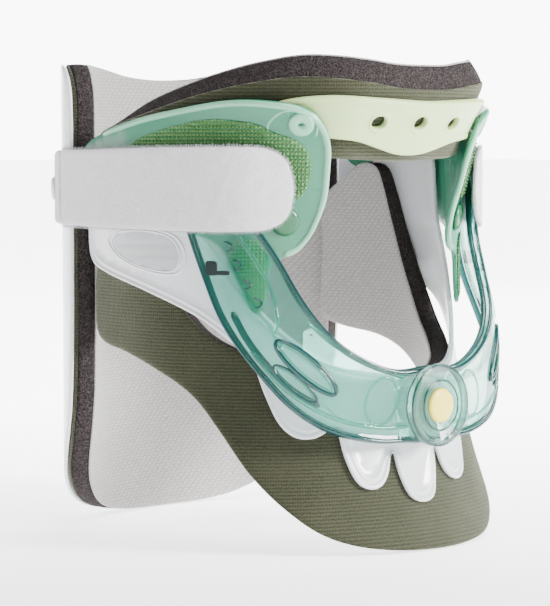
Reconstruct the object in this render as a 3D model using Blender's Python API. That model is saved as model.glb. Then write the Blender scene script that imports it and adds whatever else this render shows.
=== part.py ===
"""Adjustable cervical collar in two halves, in metres, +Z up.

The wearer faces -Y and X = 0 is the plane of symmetry. Every shell follows a
surface given as a radius about the neck axis, by angle from the front and by
height, so the layers nest with a running gap.
"""

import math

import bpy
from mathutils import Vector, geometry

MM = 0.001

# Driving dimensions, millimetres.
WIDTH_SCALE = 1.0          # side to side and front to back
HEIGHT_SCALE = 1.0         # floor to top
GAP = 0.3                  # between touching pieces
FACING_T = 1.0             # loop facing
FOAM_T = 6.5               # pad foam
LINING_T = 0.8             # pad lining
PANEL_T = 1.3              # moulded sheet
ARM_T = 2.2                # arm plate
ARM_RIM_T = 1.0            # raised border of an arm
PATCH_T = 0.9              # hook patch on an arm
YOKE_WALL = 2.4            # yoke's outer wall
STRAP_T = 1.6              # closing strap
CUP_T = 2.3                # chin cup
DIAL_RADIUS = 15.5
DIAL_THICKNESS = 4.6
DIAL_Z = 53.5
YOKE_FRONT = 84.5          # yoke's front face from the neck axis
BUTTON_RADIUS = 6.5
SHAFT_RADIUS = 4.0
PINION_PITCH = 7.0
PINION_TEETH = 14
PITCH = 11.0               # facet size of the pads
BACK_PITCH = 13.0          # and of the back half
FINE = 7.5                 # facet size of the moulded pieces
MEAN_RADIUS = 76.0
PER_DEG = math.radians(1.0) * MEAN_RADIUS

# Outer face of the front pad's facing: radius by angle from the front, by height.
FRONT_ANGLES = (0, 20, 40, 60, 80, 100, 120)
FRONT_SKIN = (
    (0, (92, 92, 91, 85, 80, 78, 77)),
    (10, (84, 85, 87, 83, 78, 76, 76)),
    (20, (78.5, 80, 83, 81, 76, 76, 76)),
    (40, (74, 74.5, 76.5, 78, 75, 75, 76)),
    (60, (71.5, 71.5, 71.5, 72, 74, 74, 76)),
    (80, (69, 69, 69, 70.5, 73, 73.5, 76)),
    (110, (66, 66, 67, 69, 72.5, 73.5, 76)),
    (150, (66, 66, 67, 69, 72.5, 73.5, 76)),
)
# Outer face of the chin pad's facing.
CHIN_ANGLES = (0, 15, 25, 37, 50, 65, 80, 100, 120)
CHIN_SKIN = (
    (140, (66, 66.5, 68.5, 70, 70.5, 71, 72.5, 73.5, 75)),
    (148, (69.5, 70.5, 72, 72.5, 72, 72, 73, 73.5, 75)),
    (160, (76, 76.6, 77.8, 76, 74, 73, 73, 73.5, 75)),
    (170, (82.5, 83, 83.5, 80.5, 77, 74.5, 73.5, 74, 75)),
    (183, (89, 89, 88.5, 84.5, 80, 76, 74, 74, 75)),
)
# Outer face of the back panel.
BACK_ANGLES = (110, 120, 130, 140, 150, 165, 180)
BACK_SKIN = (
    (0, (82.5, 84, 84.5, 83.5, 81.6, 78, 77)),
    (90, (82, 83.8, 84.6, 83.5, 81.6, 77.9, 76)),
    (183, (82, 84.2, 85, 84.2, 82.4, 79, 77.5)),
)
# Yoke's outer face.
YOKE_ANGLES = (0, 10, 20, 30, 40, 50, 60, 75)
YOKE_SKIN = (
    (40, (84.5, 84.9, 86, 87.3, 88, 87, 85, 82)),
    (68, (84.5, 84.9, 86, 87.5, 88.5, 88.2, 86, 83)),
    (86, (82, 82.5, 84, 86, 87, 86.5, 84.5, 82)),
    (103, (78, 78.5, 80, 82, 82.8, 82.6, 81.8, 80.5)),
    (120, (75, 76, 77, 78, 79.4, 80.6, 81.6, 82)),
    (150, (75, 76, 77, 78, 79.6, 81.6, 82, 82.2)),
)
# Inner face of the arms.
ARM_ANGLES = (28, 37, 45, 52, 60, 70, 80, 100, 120)
ARM_SKIN = (
    (86, (66, 68, 70, 72.6, 73, 74, 75.5, 77.2, 78.6)),
    (110, (66.5, 67.5, 70, 72.4, 73, 74, 75.8, 77.2, 78.6)),
    (124, (69.5, 69.5, 71, 72.6, 73.2, 74.2, 76, 77.2, 78.6)),
    (136, (73.5, 73, 73.2, 73.4, 73.4, 74.6, 76.2, 77.2, 78.6)),
    (148, (76.8, 76, 75.6, 74.8, 73.6, 74.4, 76, 77.2, 78.6)),
    (160, (81.3, 79.9, 78, 76, 74.2, 74.4, 76.2, 77.2, 78.6)),
    (170, (88.4, 86.3, 84, 80.4, 76.6, 75.8, 76.6, 77.2, 78.6)),
)
# Straps' inner face.
STRAP_ANGLES = (38, 45, 52, 62, 76, 90, 104, 116, 125, 140)
STRAP_SKIN = (
    (110, (78.2, 80.2, 82.2, 82.8, 82.7, 82.4, 83.2, 85.4, 86.0, 85.2)),
    (160, (78.2, 80.2, 82.2, 82.8, 82.7, 82.4, 83.2, 85.4, 86.0, 85.2)),
)


def hermite(xs, ys, x):
    """Smooth value through the points, held flat beyond both ends."""
    if x <= xs[0]:
        return ys[0]
    if x >= xs[-1]:
        return ys[-1]
    i = 0
    while x > xs[i + 1]:
        i += 1
    span = xs[i + 1] - xs[i]

    def slope(k):
        lo = max(k - 1, 0)
        hi = min(k + 1, len(xs) - 1)
        return (ys[hi] - ys[lo]) / (xs[hi] - xs[lo])

    t = (x - xs[i]) / span
    a = 2 * t**3 - 3 * t**2 + 1
    b = t**3 - 2 * t**2 + t
    c = -2 * t**3 + 3 * t**2
    d = t**3 - t**2
    return a * ys[i] + b * span * slope(i) + c * ys[i + 1] + d * span * slope(i + 1)


def skin(angles, rows, level=False):
    """Point function of angle (deg), height (mm) and outward offset (mm), kept level if asked."""
    heights = [row[0] for row in rows]

    def radius(angle, z):
        folded = abs(angle)
        if folded > 180:
            folded = 360 - folded
        return hermite(heights, [hermite(angles, row[1], folded) for row in rows], z)

    def bare(angle, z):
        r = radius(angle, z) + MEAN_RADIUS * (WIDTH_SCALE - 1)
        a = math.radians(angle)
        return Vector((r * math.sin(a), -r * math.cos(a), z * HEIGHT_SCALE))

    def point(angle, z, out=0.0):
        p = bare(angle, z)
        if not out:
            return p
        along = bare(angle + 0.5, z) - bare(angle - 0.5, z)
        up = Vector((0, 0, 1)) if level else bare(angle, z + 0.5) - bare(angle, z - 0.5)
        return p + along.cross(up).normalized() * out

    return point


FRONT = skin(FRONT_ANGLES, FRONT_SKIN, True)
CHIN = skin(CHIN_ANGLES, CHIN_SKIN)
BACK = skin(BACK_ANGLES, BACK_SKIN, True)
YOKE = skin(YOKE_ANGLES, YOKE_SKIN)
ARM = skin(ARM_ANGLES, ARM_SKIN)
STRAP = skin(STRAP_ANGLES, STRAP_SKIN)


def clear_scene():
    for obj in list(bpy.data.objects):
        bpy.data.objects.remove(obj, do_unlink=True)


def material(name, colour, roughness, alpha=1.0):
    mat = bpy.data.materials.new(name)
    mat.use_nodes = True
    shader = mat.node_tree.nodes["Principled BSDF"]
    shader.inputs["Base Color"].default_value = (*colour, 1.0)
    shader.inputs["Roughness"].default_value = roughness
    shader.inputs["Alpha"].default_value = alpha
    return mat


def node(name, verts, faces, mat, smooth=True):
    """An object from points in millimetres."""
    mesh = bpy.data.meshes.new(name)
    mesh.from_pydata([tuple(c * MM for c in v) for v in verts], [], faces)
    mesh.update()
    obj = bpy.data.objects.new(name, mesh)
    bpy.context.scene.collection.objects.link(obj)
    mesh.materials.append(mat)
    for polygon in mesh.polygons:
        polygon.use_smooth = smooth
    return obj


def mirrored(outline):
    """The same outline on the wearer's right."""
    return [(-a, z) for a, z in reversed(outline)]


def smooth_loop(points, steps=3):
    """Closed Catmull-Rom curve through the points."""
    out = []
    n = len(points)
    for i in range(n):
        p0, p1, p2, p3 = (points[(i + k - 1) % n] for k in range(4))
        for s in range(steps):
            t = s / steps
            out.append(tuple(
                0.5 * (2 * b + (c - a) * t + (2 * a - 5 * b + 4 * c - d) * t * t
                       + (3 * b - a - 3 * c + d) * t**3)
                for a, b, c, d in zip(p0, p1, p2, p3)))
    return out


def resampled(loop, pitch):
    """The closed loop in unrolled millimetres, with a point about every pitch."""
    flat = [Vector((a * PER_DEG, z)) for a, z in loop]
    out = []
    for i, p in enumerate(flat):
        q = flat[(i + 1) % len(flat)]
        parts = max(1, round((q - p).length / pitch))
        for k in range(parts):
            out.append(p.lerp(q, k / parts))
    return out


def inside(p, loop):
    hit = False
    n = len(loop)
    for i in range(n):
        a, b = loop[i], loop[(i + 1) % n]
        if (a[1] > p[1]) != (b[1] > p[1]):
            if p[0] < (b[0] - a[0]) * (p[1] - a[1]) / (b[1] - a[1]) + a[0]:
                hit = not hit
    return hit


def clear_of(p, loops, least):
    for loop in loops:
        for i, a in enumerate(loop):
            b = loop[(i + 1) % len(loop)]
            along = b - a
            t = max(0.0, min(1.0, (p - a).dot(along) / max(along.length_squared, 1e-9)))
            if (p - a - along * t).length < least:
                return False
    return True


def sheet(name, mat, outline, lower, upper, pitch=PITCH, holes=(), low_steps=(), high_steps=()):
    """A closed shell over an outline in (angle, height).

    lower and upper give the two faces. Inside each step's loop the face is
    the step's own function instead, joined by a wall.
    """
    loops = [resampled(outline, pitch)] + [resampled(h, pitch * 0.45) for h in holes]
    low_loops = [(resampled(loop, pitch), face) for loop, face in low_steps]
    high_loops = [(resampled(loop, pitch), face) for loop, face in high_steps]
    bounds = loops + [loop for loop, _ in low_loops + high_loops]
    flat = []
    edges = []
    for loop in bounds:
        start = len(flat)
        flat += loop
        edges += [(start + i, start + (i + 1) % len(loop)) for i in range(len(loop))]
    xs = [p.x for p in loops[0]]
    zs = [p.y for p in loops[0]]
    row = 0
    z = min(zs) + pitch / 2
    while z < max(zs):
        x = min(xs) + pitch * (0.5 if row % 2 else 1.0)
        while x < max(xs):
            p = Vector((x, z))
            if inside(p, loops[0]) and clear_of(p, bounds, pitch * 0.55):
                flat.append(p)
            x += pitch
        z += pitch * 0.87
        row += 1
    points, _, tris, _, _, _ = geometry.delaunay_2d_cdt(flat, edges, [], 0, 1e-5)
    kept = []
    for tri in tris:
        c = (points[tri[0]] + points[tri[1]] + points[tri[2]]) / 3
        if inside(c, loops[0]) and not any(inside(c, h) for h in loops[1:]):
            area = (points[tri[1]] - points[tri[0]]).cross(points[tri[2]] - points[tri[0]])
            rim = max(tri) < len(loops[0])
            if abs(area) < (0.05 if rim else 1e-6):
                continue
            turned = tuple(tri) if area > 0 else tuple(reversed(tri))
            kept.append((turned, c))
    verts = []
    index = {}

    def vertex(i, key, face):
        if (i, key) not in index:
            index[i, key] = len(verts)
            verts.append(face(points[i].x / PER_DEG, points[i].y))
        return index[i, key]

    def level(c, side):
        steps = low_loops if side == "low" else high_loops
        for k, (loop, face) in enumerate(steps):
            if inside(c, loop):
                return (side, k + 1), face
        return (side, 0), (lower if side == "low" else upper)

    faces = []
    border = {}
    for tri, c in kept:
        high_key, high_face = level(c, "high")
        low_key, low_face = level(c, "low")
        faces.append([vertex(i, high_key, high_face) for i in tri])
        faces.append([vertex(i, low_key, low_face) for i in reversed(tri)])
        for a, b in ((tri[0], tri[1]), (tri[1], tri[2]), (tri[2], tri[0])):
            border[a, b] = (high_key, high_face, low_key, low_face)
    for (a, b), (hk, hf, lk, lf) in border.items():
        other = border.get((b, a))
        if other is None:
            faces.append([vertex(a, lk, lf), vertex(b, lk, lf), vertex(b, hk, hf), vertex(a, hk, hf)])
            continue
        if a > b:
            continue
        ohk, ohf, olk, olf = other
        if ohk != hk:
            faces.append([vertex(a, ohk, ohf), vertex(b, ohk, ohf), vertex(b, hk, hf), vertex(a, hk, hf)])
        if olk != lk:
            faces.append([vertex(a, lk, lf), vertex(b, lk, lf), vertex(b, olk, olf), vertex(a, olk, olf)])
    return node(name, verts, faces, mat)


def offset_of(surface, out):
    return lambda a, z: surface(a, z, out)


def lathe(name, mat, profile, origin, axis, segments=24, teeth=None):
    """A turned piece; profile is closed (radius, along) points, axis points to the front."""
    axis = Vector(axis).normalized()
    side = (Vector((0, 0, 1)) - axis * axis.z).normalized()
    other = axis.cross(side)
    origin = Vector(origin)
    verts = []
    rings = []
    for r, h in profile:
        if r < 1e-6:
            rings.append([len(verts)])
            verts.append(origin + axis * h)
            continue
        ring = []
        for k in range(segments):
            a = 2 * math.pi * k / segments
            scale = teeth(k, r) if teeth else 1.0
            ring.append(len(verts))
            verts.append(origin + axis * h + (side * math.cos(a) + other * math.sin(a)) * r * scale)
        rings.append(ring)
    faces = []
    for i in range(len(rings)):
        a, b = rings[i], rings[(i + 1) % len(rings)]
        if len(a) == 1 and len(b) == 1:
            continue
        for k in range(segments):
            n = (k + 1) % segments
            if len(a) == 1:
                faces.append([a[0], b[n], b[k]])
            elif len(b) == 1:
                faces.append([a[k], a[n], b[0]])
            else:
                faces.append([a[k], a[n], b[n], b[k]])
    obj = node(name, verts, faces, mat)
    return facing_out(obj)


def facing_out(obj):
    """Turns every face round if the solid is inside out."""
    mesh = obj.data
    mesh.calc_loop_triangles()
    volume = 0.0
    for tri in mesh.loop_triangles:
        a, b, c = (mesh.vertices[i].co for i in tri.vertices)
        volume += a.dot(b.cross(c))
    if volume < 0:
        mesh.flip_normals()
    return obj


def circle(angle, z, radius, local_radius, points=12):
    """A round hole of the given radius on a surface at local_radius."""
    per = math.radians(1.0) * local_radius
    return [(angle + radius / per * math.cos(2 * math.pi * k / points),
             z + radius * math.sin(2 * math.pi * k / points)) for k in range(points)]


def materials():
    return {
        "facing": material("facing", (0.16, 0.17, 0.11), 0.95),
        "foam": material("foam", (0.05, 0.04, 0.04), 0.95),
        "lining": material("lining", (0.75, 0.75, 0.73), 0.9),
        "panel": material("panel", (0.86, 0.87, 0.88), 0.35, 0.75),
        "yoke": material("yoke", (0.25, 0.62, 0.55), 0.08, 0.45),
        "arm": material("arm", (0.28, 0.58, 0.42), 0.3, 0.75),
        "patch": material("patch", (0.3, 0.5, 0.25), 0.6),
        "rivet": material("rivet", (0.03, 0.2, 0.07), 0.25),
        "cup": material("cup", (0.78, 0.86, 0.62), 0.35),
        "button": material("button", (0.9, 0.84, 0.35), 0.3),
        "strap": material("strap", (0.8, 0.8, 0.8), 0.95),
        "steel": material("gear", (0.8, 0.8, 0.78), 0.4),
    }


FRONT_HALF = [
    (0, 0), (18, 1.5), (30, 6), (40, 15), (50, 28), (60, 45), (70, 58), (82, 66.5), (95, 72),
    (108, 75), (112.5, 80), (112.5, 92), (112.5, 108), (112, 128), (109, 138), (102, 143.5),
    (95, 142), (91, 132), (86, 116), (78, 98), (67, 82), (55, 74), (40, 68), (20, 64),
]


def front_pad(mats):
    """Bib and side wings in three bonded layers."""
    outline = FRONT_HALF + [(0, 63)] + mirrored(FRONT_HALF[1:])
    for name, mat, top, thick in layers():
        sheet("front_pad_" + name, mats[mat], outline,
              offset_of(FRONT, top - thick), offset_of(FRONT, top))


def layers():
    facing = 0.0
    foam = -FACING_T - GAP
    lining = foam - FOAM_T - GAP
    return (("facing", "facing", facing, FACING_T), ("foam", "foam", foam, FOAM_T),
            ("lining", "lining", lining, LINING_T))


PANEL_HALF = [
    (4, 18), (8.75, 34), (12, 27), (17.5, 23), (22, 27), (26.7, 46), (31, 44), (36, 42), (42, 46),
    (47, 58), (51, 71), (60, 80), (69.5, 88), (85, 96), (103, 102), (111, 106), (113.5, 116),
    (112.5, 134), (104, 143), (90, 146), (78, 148), (68, 142), (60, 126), (54, 108), (47, 90),
    (38, 78), (26, 69), (10, 65),
]


def front_panel(mats):
    """Moulded sheet behind the yoke: five finger tabs below, a wing each side."""
    outline = [(0, 16.5)] + PANEL_HALF + [(0, 64.5)] + mirrored(PANEL_HALF)
    low = 0.5
    window = smooth_loop([(77, 103), (95, 110), (101, 116), (96, 121), (80, 119), (75, 110)], 2)
    grooves = [(loop, offset_of(FRONT, low + PANEL_T - 0.5)) for loop in (window, mirrored(window))]
    sheet("front_panel", mats["panel"], outline, offset_of(FRONT, low),
          offset_of(FRONT, low + PANEL_T), pitch=8.5, high_steps=grooves)


YOKE_HALF = [
    (9, 40.2), (17, 40.5), (30, 45), (40, 54), (47.5, 66), (52, 74), (58, 86.5), (62, 98), (65.5, 110),
    (70, 130), (72.5, 143), (70.5, 149), (65, 149), (59, 144), (54, 132), (48, 119), (43.2, 110),
    (36, 92), (30, 81), (23, 73.5), (14, 68), (8.5, 66.8),
]


def yoke_frame(mats):
    """U-shaped shell carrying the dial below and the arms' channels above."""
    outline = [(0, 39)] + YOKE_HALF + [(0, 68)] + mirrored(YOKE_HALF)
    outer = offset_of(YOKE, 0.0)
    inner = offset_of(YOKE, -YOKE_WALL)
    foot = lambda a, z: FRONT(a, z, 0.5 + PANEL_T + GAP + 0.3)
    lower_edge = [(0, 39), (9, 40.2), (17, 40.5), (30, 45), (40, 54), (47.5, 66), (52, 74), (57, 85)]
    upper_edge = [(36, 91), (30, 81), (23, 73.5), (14, 68), (8.5, 66.8), (0, 68)]
    ribs = [strip(lower_edge, 1.0, 3.2), strip(upper_edge, 1.0, 3.2)]
    hole = circle(0, DIAL_Z, SHAFT_RADIUS + 0.6, YOKE_FRONT, 12)
    sheet("yoke_frame", mats["yoke"], outline, inner, outer, pitch=FINE, holes=[hole],
          low_steps=[(rib, foot) for rib in ribs])


def strip(half, near, far):
    """Closed band left of the path half and its mirror image, from near to far away."""
    path = half if half[0][0] < 1 else list(reversed([(-a, z) for a, z in half]))
    path = ([(-a, z) for a, z in reversed(path[1:])] + path) if half[0][0] < 1 else \
        [(a, z) for a, z in half] + [(-a, z) for a, z in reversed(half[:-1])]
    flat = [Vector((a * PER_DEG, z)) for a, z in path]
    sides = []
    for dist in (near, far):
        side = []
        for i, p in enumerate(flat):
            before = flat[max(i - 1, 0)]
            after = flat[min(i + 1, len(flat) - 1)]
            along = (after - before).normalized()
            side.append(p + Vector((-along.y, along.x)) * dist)
        sides.append(side)
    loop = sides[0] + list(reversed(sides[1]))
    return [(p.x / PER_DEG, p.y) for p in loop]


ARM_HALF = [
    (28.5, 142), (29, 130), (32, 119), (37, 111.5), (42, 109), (45.5, 108), (46.5, 100), (47.5, 90),
    (50, 88), (53, 94), (57, 106), (61, 114), (72, 120), (86, 129), (100, 137), (110, 142),
    (114.5, 147), (110, 151.5), (102, 155), (84, 161), (66, 166), (54, 168), (44, 167.5), (36, 165),
    (31, 159), (28.8, 151),
]
RIVET_AT = (41.5, 123.0)
PIVOT_AT = (37.0, 159.5)
FOLD = 117.0               # where a strap bends open, degrees from the front
PATCH_HALF = [
    (34, 145), (35, 136), (38, 131), (44, 131), (48, 136), (51, 146), (58, 150.5), (72, 150.8),
    (84, 147), (89, 149), (84, 154), (72, 159), (62, 161.5), (50, 160.5), (44, 156), (37, 152),
]


def side_pieces(mats, side, word):
    """Arm, hook patch, rivets and strap of one side; side is 1 on the wearer's left."""
    turn = (lambda loop: loop) if side > 0 else mirrored
    rivet = circle(side * RIVET_AT[0], RIVET_AT[1], 3.1, 71, 12)
    pivot = circle(side * PIVOT_AT[0], PIVOT_AT[1], 3.2, 80, 12)
    border = strip_open([(31.6, 156), (30.6, 151), (30.3, 142),
                         (30.8, 131), (33.5, 120.8), (38, 113.6), (42, 111.4)], 1.9)
    sheet("arm_" + word, mats["arm"], turn(ARM_HALF), offset_of(ARM, 0.0), offset_of(ARM, ARM_T),
          pitch=FINE, holes=[rivet, pivot],
          high_steps=[(turn(border), offset_of(ARM, ARM_T + ARM_RIM_T))])
    sheet("hook_patch_" + word, mats["patch"], turn(PATCH_HALF), offset_of(ARM, ARM_T + 2 * GAP),
          offset_of(ARM, ARM_T + 2 * GAP + PATCH_T), pitch=FINE)
    pin("arm_rivet_" + word, mats["rivet"], ARM, side * RIVET_AT[0], RIVET_AT[1],
        5.6, 2.3, ARM_T, 1.8, True)
    low = -2.2
    pin("chin_pivot_" + word, mats["cup"], ARM, side * PIVOT_AT[0], PIVOT_AT[1],
        4.6, 2.0, ARM_T, 0.9, False, low)
    outline = [(39.5, 133), (40.5, 143), (46, 149.3), (54, 150.5), (80, 150), (FOLD, 149),
               (FOLD, 120.4), (80, 119.5), (54, 119), (46, 119.7), (40.5, 125)]
    sheet("strap_" + word, mats["strap"], turn(list(reversed(outline))), offset_of(STRAP, 0.0),
          offset_of(STRAP, STRAP_T), pitch=9.0)
    anchor = circle(side * 127, 134, 2.9, 87, 12)
    base = [(FOLD + 1.5, 120.5), (133, 121.5), (133, 146.5), (FOLD + 1.5, 148.8)]
    sheet("strap_base_" + word, mats["strap"], turn(base), offset_of(STRAP, 0.0),
          offset_of(STRAP, STRAP_T), pitch=9.0, holes=[anchor])
    pin("strap_rivet_" + word, mats["panel"], STRAP, side * 127, 134, 5.0, 2.3, STRAP_T, 1.0,
        False, -1.4)
    tab = [(41.5, 128), (42.5, 140), (46, 143), (50, 143), (50, 130), (46, 124)]
    sheet("strap_hook_tab_" + word, mats["strap"], turn(list(reversed(tab))),
          offset_of(STRAP, -2 * GAP - 0.7), offset_of(STRAP, -2 * GAP), pitch=9.0)


def strip_open(path, width):
    """Closed band centred on an open path."""
    flat = [Vector((a * PER_DEG, z)) for a, z in path]
    sides = [[], []]
    for i, p in enumerate(flat):
        along = (flat[min(i + 1, len(flat) - 1)] - flat[max(i - 1, 0)]).normalized()
        normal = Vector((-along.y, along.x)) * (width / 2)
        sides[0].append(p + normal)
        sides[1].append(p - normal)
    loop = sides[0] + list(reversed(sides[1]))
    return [(p.x / PER_DEG, p.y) for p in loop]


def pin(name, mat, surface, angle, z, head, shank, thick, crown, both, low=-0.1):
    """A headed pin through a shell, along the shell's normal."""
    at = surface(angle, z)
    axis = (surface(angle, z, 1.0) - at).normalized()
    top = thick + GAP + 0.25
    tail = [(shank, low), (0, low)]
    if both:
        tail = [(shank, -GAP - 0.4), (head, -GAP - 0.4), (head, -GAP - 1.6), (0, -GAP - 1.6)]
    profile = [(0, top + crown), (head * 0.62, top + crown), (head, top + crown * 0.45), (head, top),
               (shank, top)] + tail
    return lathe(name, mat, profile, at, axis, 16)


CUP_HALF = [
    (10, 148.4), (20, 149.5), (29, 152.5), (36, 153.6), (42, 156), (45, 160), (44.5, 165.5),
    (41, 168), (30, 169.6), (15, 168.8),
]


def chin_cup(mats):
    """Cup under the chin with three oval vents, an ear each side for its pivot."""
    outline = [(0, 148)] + CUP_HALF + [(0, 168)] + mirrored(CUP_HALF)
    holes = [oval(a, 160.5, 3.4, 2.4) for a in (-15, 0, 15)]
    holes += [circle(s * PIVOT_AT[0], PIVOT_AT[1] + 0.9, 3.5, 77, 12) for s in (-1, 1)]
    rim = strip_open([(a, z - 1.2) for a, z in
                      ((-40, 168), (-30, 169.4), (-15, 168.7), (0, 168), (15, 168.7), (30, 169.4),
                       (40, 168))], 1.6)
    sheet("chin_cup", mats["cup"], outline, offset_of(CHIN, 0.5), offset_of(CHIN, 0.4 + CUP_T),
          pitch=FINE, holes=holes, high_steps=[(rim, offset_of(CHIN, 0.4 + CUP_T + 0.8))])


def oval(angle, z, half_wide, half_tall, points=12):
    return [(angle + half_wide / PER_DEG * math.cos(2 * math.pi * k / points),
             z + half_tall * math.sin(2 * math.pi * k / points)) for k in range(points)]


CHIN_HALF = [
    (15, 145), (30, 146), (45, 147.5), (60, 148), (80, 148.6), (100, 148.4), (110, 147.2), (114.5, 149),
    (114, 153), (109, 158), (100, 163), (84, 170), (66, 176), (50, 180), (36, 182), (20, 180), (10, 178),
]


def chin_pad(mats):
    """Pad that rests under the jaw, with a tail each side."""
    outline = [(0, 144.5)] + CHIN_HALF + [(0, 177.5)] + mirrored(CHIN_HALF)
    for name, mat, top, thick in layers():
        sheet("chin_pad_" + name, mats[mat], outline,
              offset_of(CHIN, top - thick), offset_of(CHIN, top))


BACK_HALF = [
    (117.5, 62), (119, 46), (124, 31), (132, 18), (142, 8), (153, 2.5), (166, 0.3),
]


def back_half(mats):
    """Back panel with its pad, from ear to ear, with one rounded lobe at the nape."""
    low = [(180, 0)] + list(reversed(BACK_HALF))
    side = [(116.5, 80), (116.5, 110), (116.5, 140), (116.5, 165), (118, 176), (123, 182), (135, 183),
            (150, 182), (165, 179)]
    half = low[1:] + side
    outline = [(180, 0)] + half + [(180, 178)] + [(360 - a, z) for a, z in reversed(half)]
    outline = list(reversed(outline))
    holes = [circle(a, 134, 2.9, 85, 12) for a in (127, 233)]
    sheet("back_panel", mats["panel"], outline, offset_of(BACK, -PANEL_T), offset_of(BACK, 0.0),
          holes=holes, pitch=BACK_PITCH)
    base = -PANEL_T - GAP - 0.5
    for name, mat, top, thick in layers():
        sheet("back_pad_" + name, mats[mat], outline, offset_of(BACK, base + top - thick),
              offset_of(BACK, base + top), pitch=BACK_PITCH)


def dial(mats):
    """Height dial, its lock button and the pinion behind the yoke's wall."""
    front = -YOKE_FRONT - 0.7
    axis = (0, -1, 0)
    at = (0, front - MEAN_RADIUS * (WIDTH_SCALE - 1), DIAL_Z * HEIGHT_SCALE)
    bore = BUTTON_RADIUS + GAP
    t = DIAL_THICKNESS
    back = -8.0
    profile = [(bore, t), (9.2, t), (9.8, t - 0.7), (12.6, t - 0.7), (13.2, t), (DIAL_RADIUS - 0.8, t),
               (DIAL_RADIUS, t - 0.8), (DIAL_RADIUS, 1.4), (DIAL_RADIUS - 0.7, 0.7),
               (12.0, 0.0), (SHAFT_RADIUS, 0.0), (SHAFT_RADIUS, back), (0, back), (0, t - 4.2),
               (bore, t - 4.2)]
    lathe("height_dial", mats["yoke"], profile, at, axis, 28)
    button = [(0, t + 1.0), (BUTTON_RADIUS - 1.0, t + 1.0), (BUTTON_RADIUS, t + 0.3), (BUTTON_RADIUS, t - 2.0),
              (0, t - 2.0)]
    lathe("lock_button", mats["button"], button, at, axis, 24)
    wave = lambda k, r: 1.0 if r < PINION_PITCH - 1.5 else (1.09, 1.0, 0.91, 1.0)[k % 4]
    gear = [(SHAFT_RADIUS + GAP, -3.8), (PINION_PITCH, -3.8), (PINION_PITCH, -6.0), (SHAFT_RADIUS + GAP, -6.0)]
    lathe("drive_pinion", mats["steel"], gear, at, axis, PINION_TEETH * 4, wave)


def lift_rack(mats, side, word):
    """Flexible toothed strip from the pinion round the yoke's corner to an arm's tongue."""
    tooth = math.degrees(2 * math.pi * PINION_PITCH / PINION_TEETH / (YOKE_FRONT - 3.5))
    root = PINION_PITCH * 1.09 + 0.35
    tip = PINION_PITCH * 0.91 + 0.45
    back = PINION_PITCH + 2.3
    edge = []
    for k in range(-6, 6):
        for share, height in ((0.0, root), (0.3, root), (0.38, tip), (0.62, tip), (0.7, root)):
            edge.append(((k + share) * tooth, height))
    if side > 0:
        run = strip_open([(16, 8.3), (22, 9.2), (30, 11.5), (37, 17), (42, 24), (46, 33)], 1.9)
    else:
        run = strip_open([(16, 7.4), (22, 5.6), (28, 2.0), (34, -6), (40, -16), (46, -33)], 1.9)
    half = len(run) // 2
    loop = edge + run[half:][::-1] + run[:half][::-1]
    loop.append((edge[0][0], back))
    if side > 0:
        loop = [(a, DIAL_Z + h / HEIGHT_SCALE) for a, h in loop]
    else:
        loop = [(-a, DIAL_Z - h / HEIGHT_SCALE) for a, h in loop]
    sheet("lift_rack_" + word, mats["steel"], loop, offset_of(YOKE, -YOKE_WALL - 2.2),
          offset_of(YOKE, -YOKE_WALL - 0.5), pitch=9.0)


def settle():
    """Stands the collar on the floor with its box centred on the origin."""
    points = [obj.data.vertices[i].co for obj in bpy.data.objects for i in range(len(obj.data.vertices))]
    low = [min(p[k] for p in points) for k in range(3)]
    high = [max(p[k] for p in points) for k in range(3)]
    shift = Vector((-(low[0] + high[0]) / 2, -(low[1] + high[1]) / 2, -low[2]))
    for obj in bpy.data.objects:
        for vertex in obj.data.vertices:
            vertex.co += shift


def build():
    clear_scene()
    mats = materials()
    front_pad(mats)
    front_panel(mats)
    yoke_frame(mats)
    dial(mats)
    for side, word in ((-1, "right"), (1, "left")):
        side_pieces(mats, side, word)
        lift_rack(mats, side, word)
    chin_cup(mats)
    chin_pad(mats)
    back_half(mats)
    settle()


build()
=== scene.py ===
"""Adjustable cervical collar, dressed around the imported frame, in metres, +Z up.

The wearer faces -Y. Every shell is laid out in angle from the front and height,
then wrapped round the neck, so the layers of the collar nest as the real ones do.
"""

from __future__ import annotations

import logging
import math
from dataclasses import dataclass, field
from enum import Enum
from typing import Callable, Sequence

import bpy
import numpy as np
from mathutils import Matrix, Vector, geometry, noise


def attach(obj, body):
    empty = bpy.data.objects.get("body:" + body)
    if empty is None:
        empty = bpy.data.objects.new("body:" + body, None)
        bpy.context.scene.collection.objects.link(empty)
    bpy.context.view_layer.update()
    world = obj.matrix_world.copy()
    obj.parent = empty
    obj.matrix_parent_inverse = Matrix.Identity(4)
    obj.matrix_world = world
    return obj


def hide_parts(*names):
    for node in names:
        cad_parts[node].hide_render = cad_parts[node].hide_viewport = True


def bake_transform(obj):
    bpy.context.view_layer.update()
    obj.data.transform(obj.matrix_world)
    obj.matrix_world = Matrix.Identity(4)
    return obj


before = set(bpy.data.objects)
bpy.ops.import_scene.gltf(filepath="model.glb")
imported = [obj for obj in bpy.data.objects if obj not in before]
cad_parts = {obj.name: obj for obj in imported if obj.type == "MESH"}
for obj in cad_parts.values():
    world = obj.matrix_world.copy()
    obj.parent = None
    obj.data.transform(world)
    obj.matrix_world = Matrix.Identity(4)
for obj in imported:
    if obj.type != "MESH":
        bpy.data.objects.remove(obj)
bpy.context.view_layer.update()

LOG = logging.getLogger("collar")

MM = 0.001
NECK_Y = 7.292             # neck axis ahead of the footprint's centre, mm
MEAN_RADIUS = 76.0         # where angles are unrolled to millimetres
PER_DEG = math.radians(1.0) * MEAN_RADIUS
Loop = list[tuple[float, float]]
Points = np.ndarray
Face = Callable[[Points, Points], Points]


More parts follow.
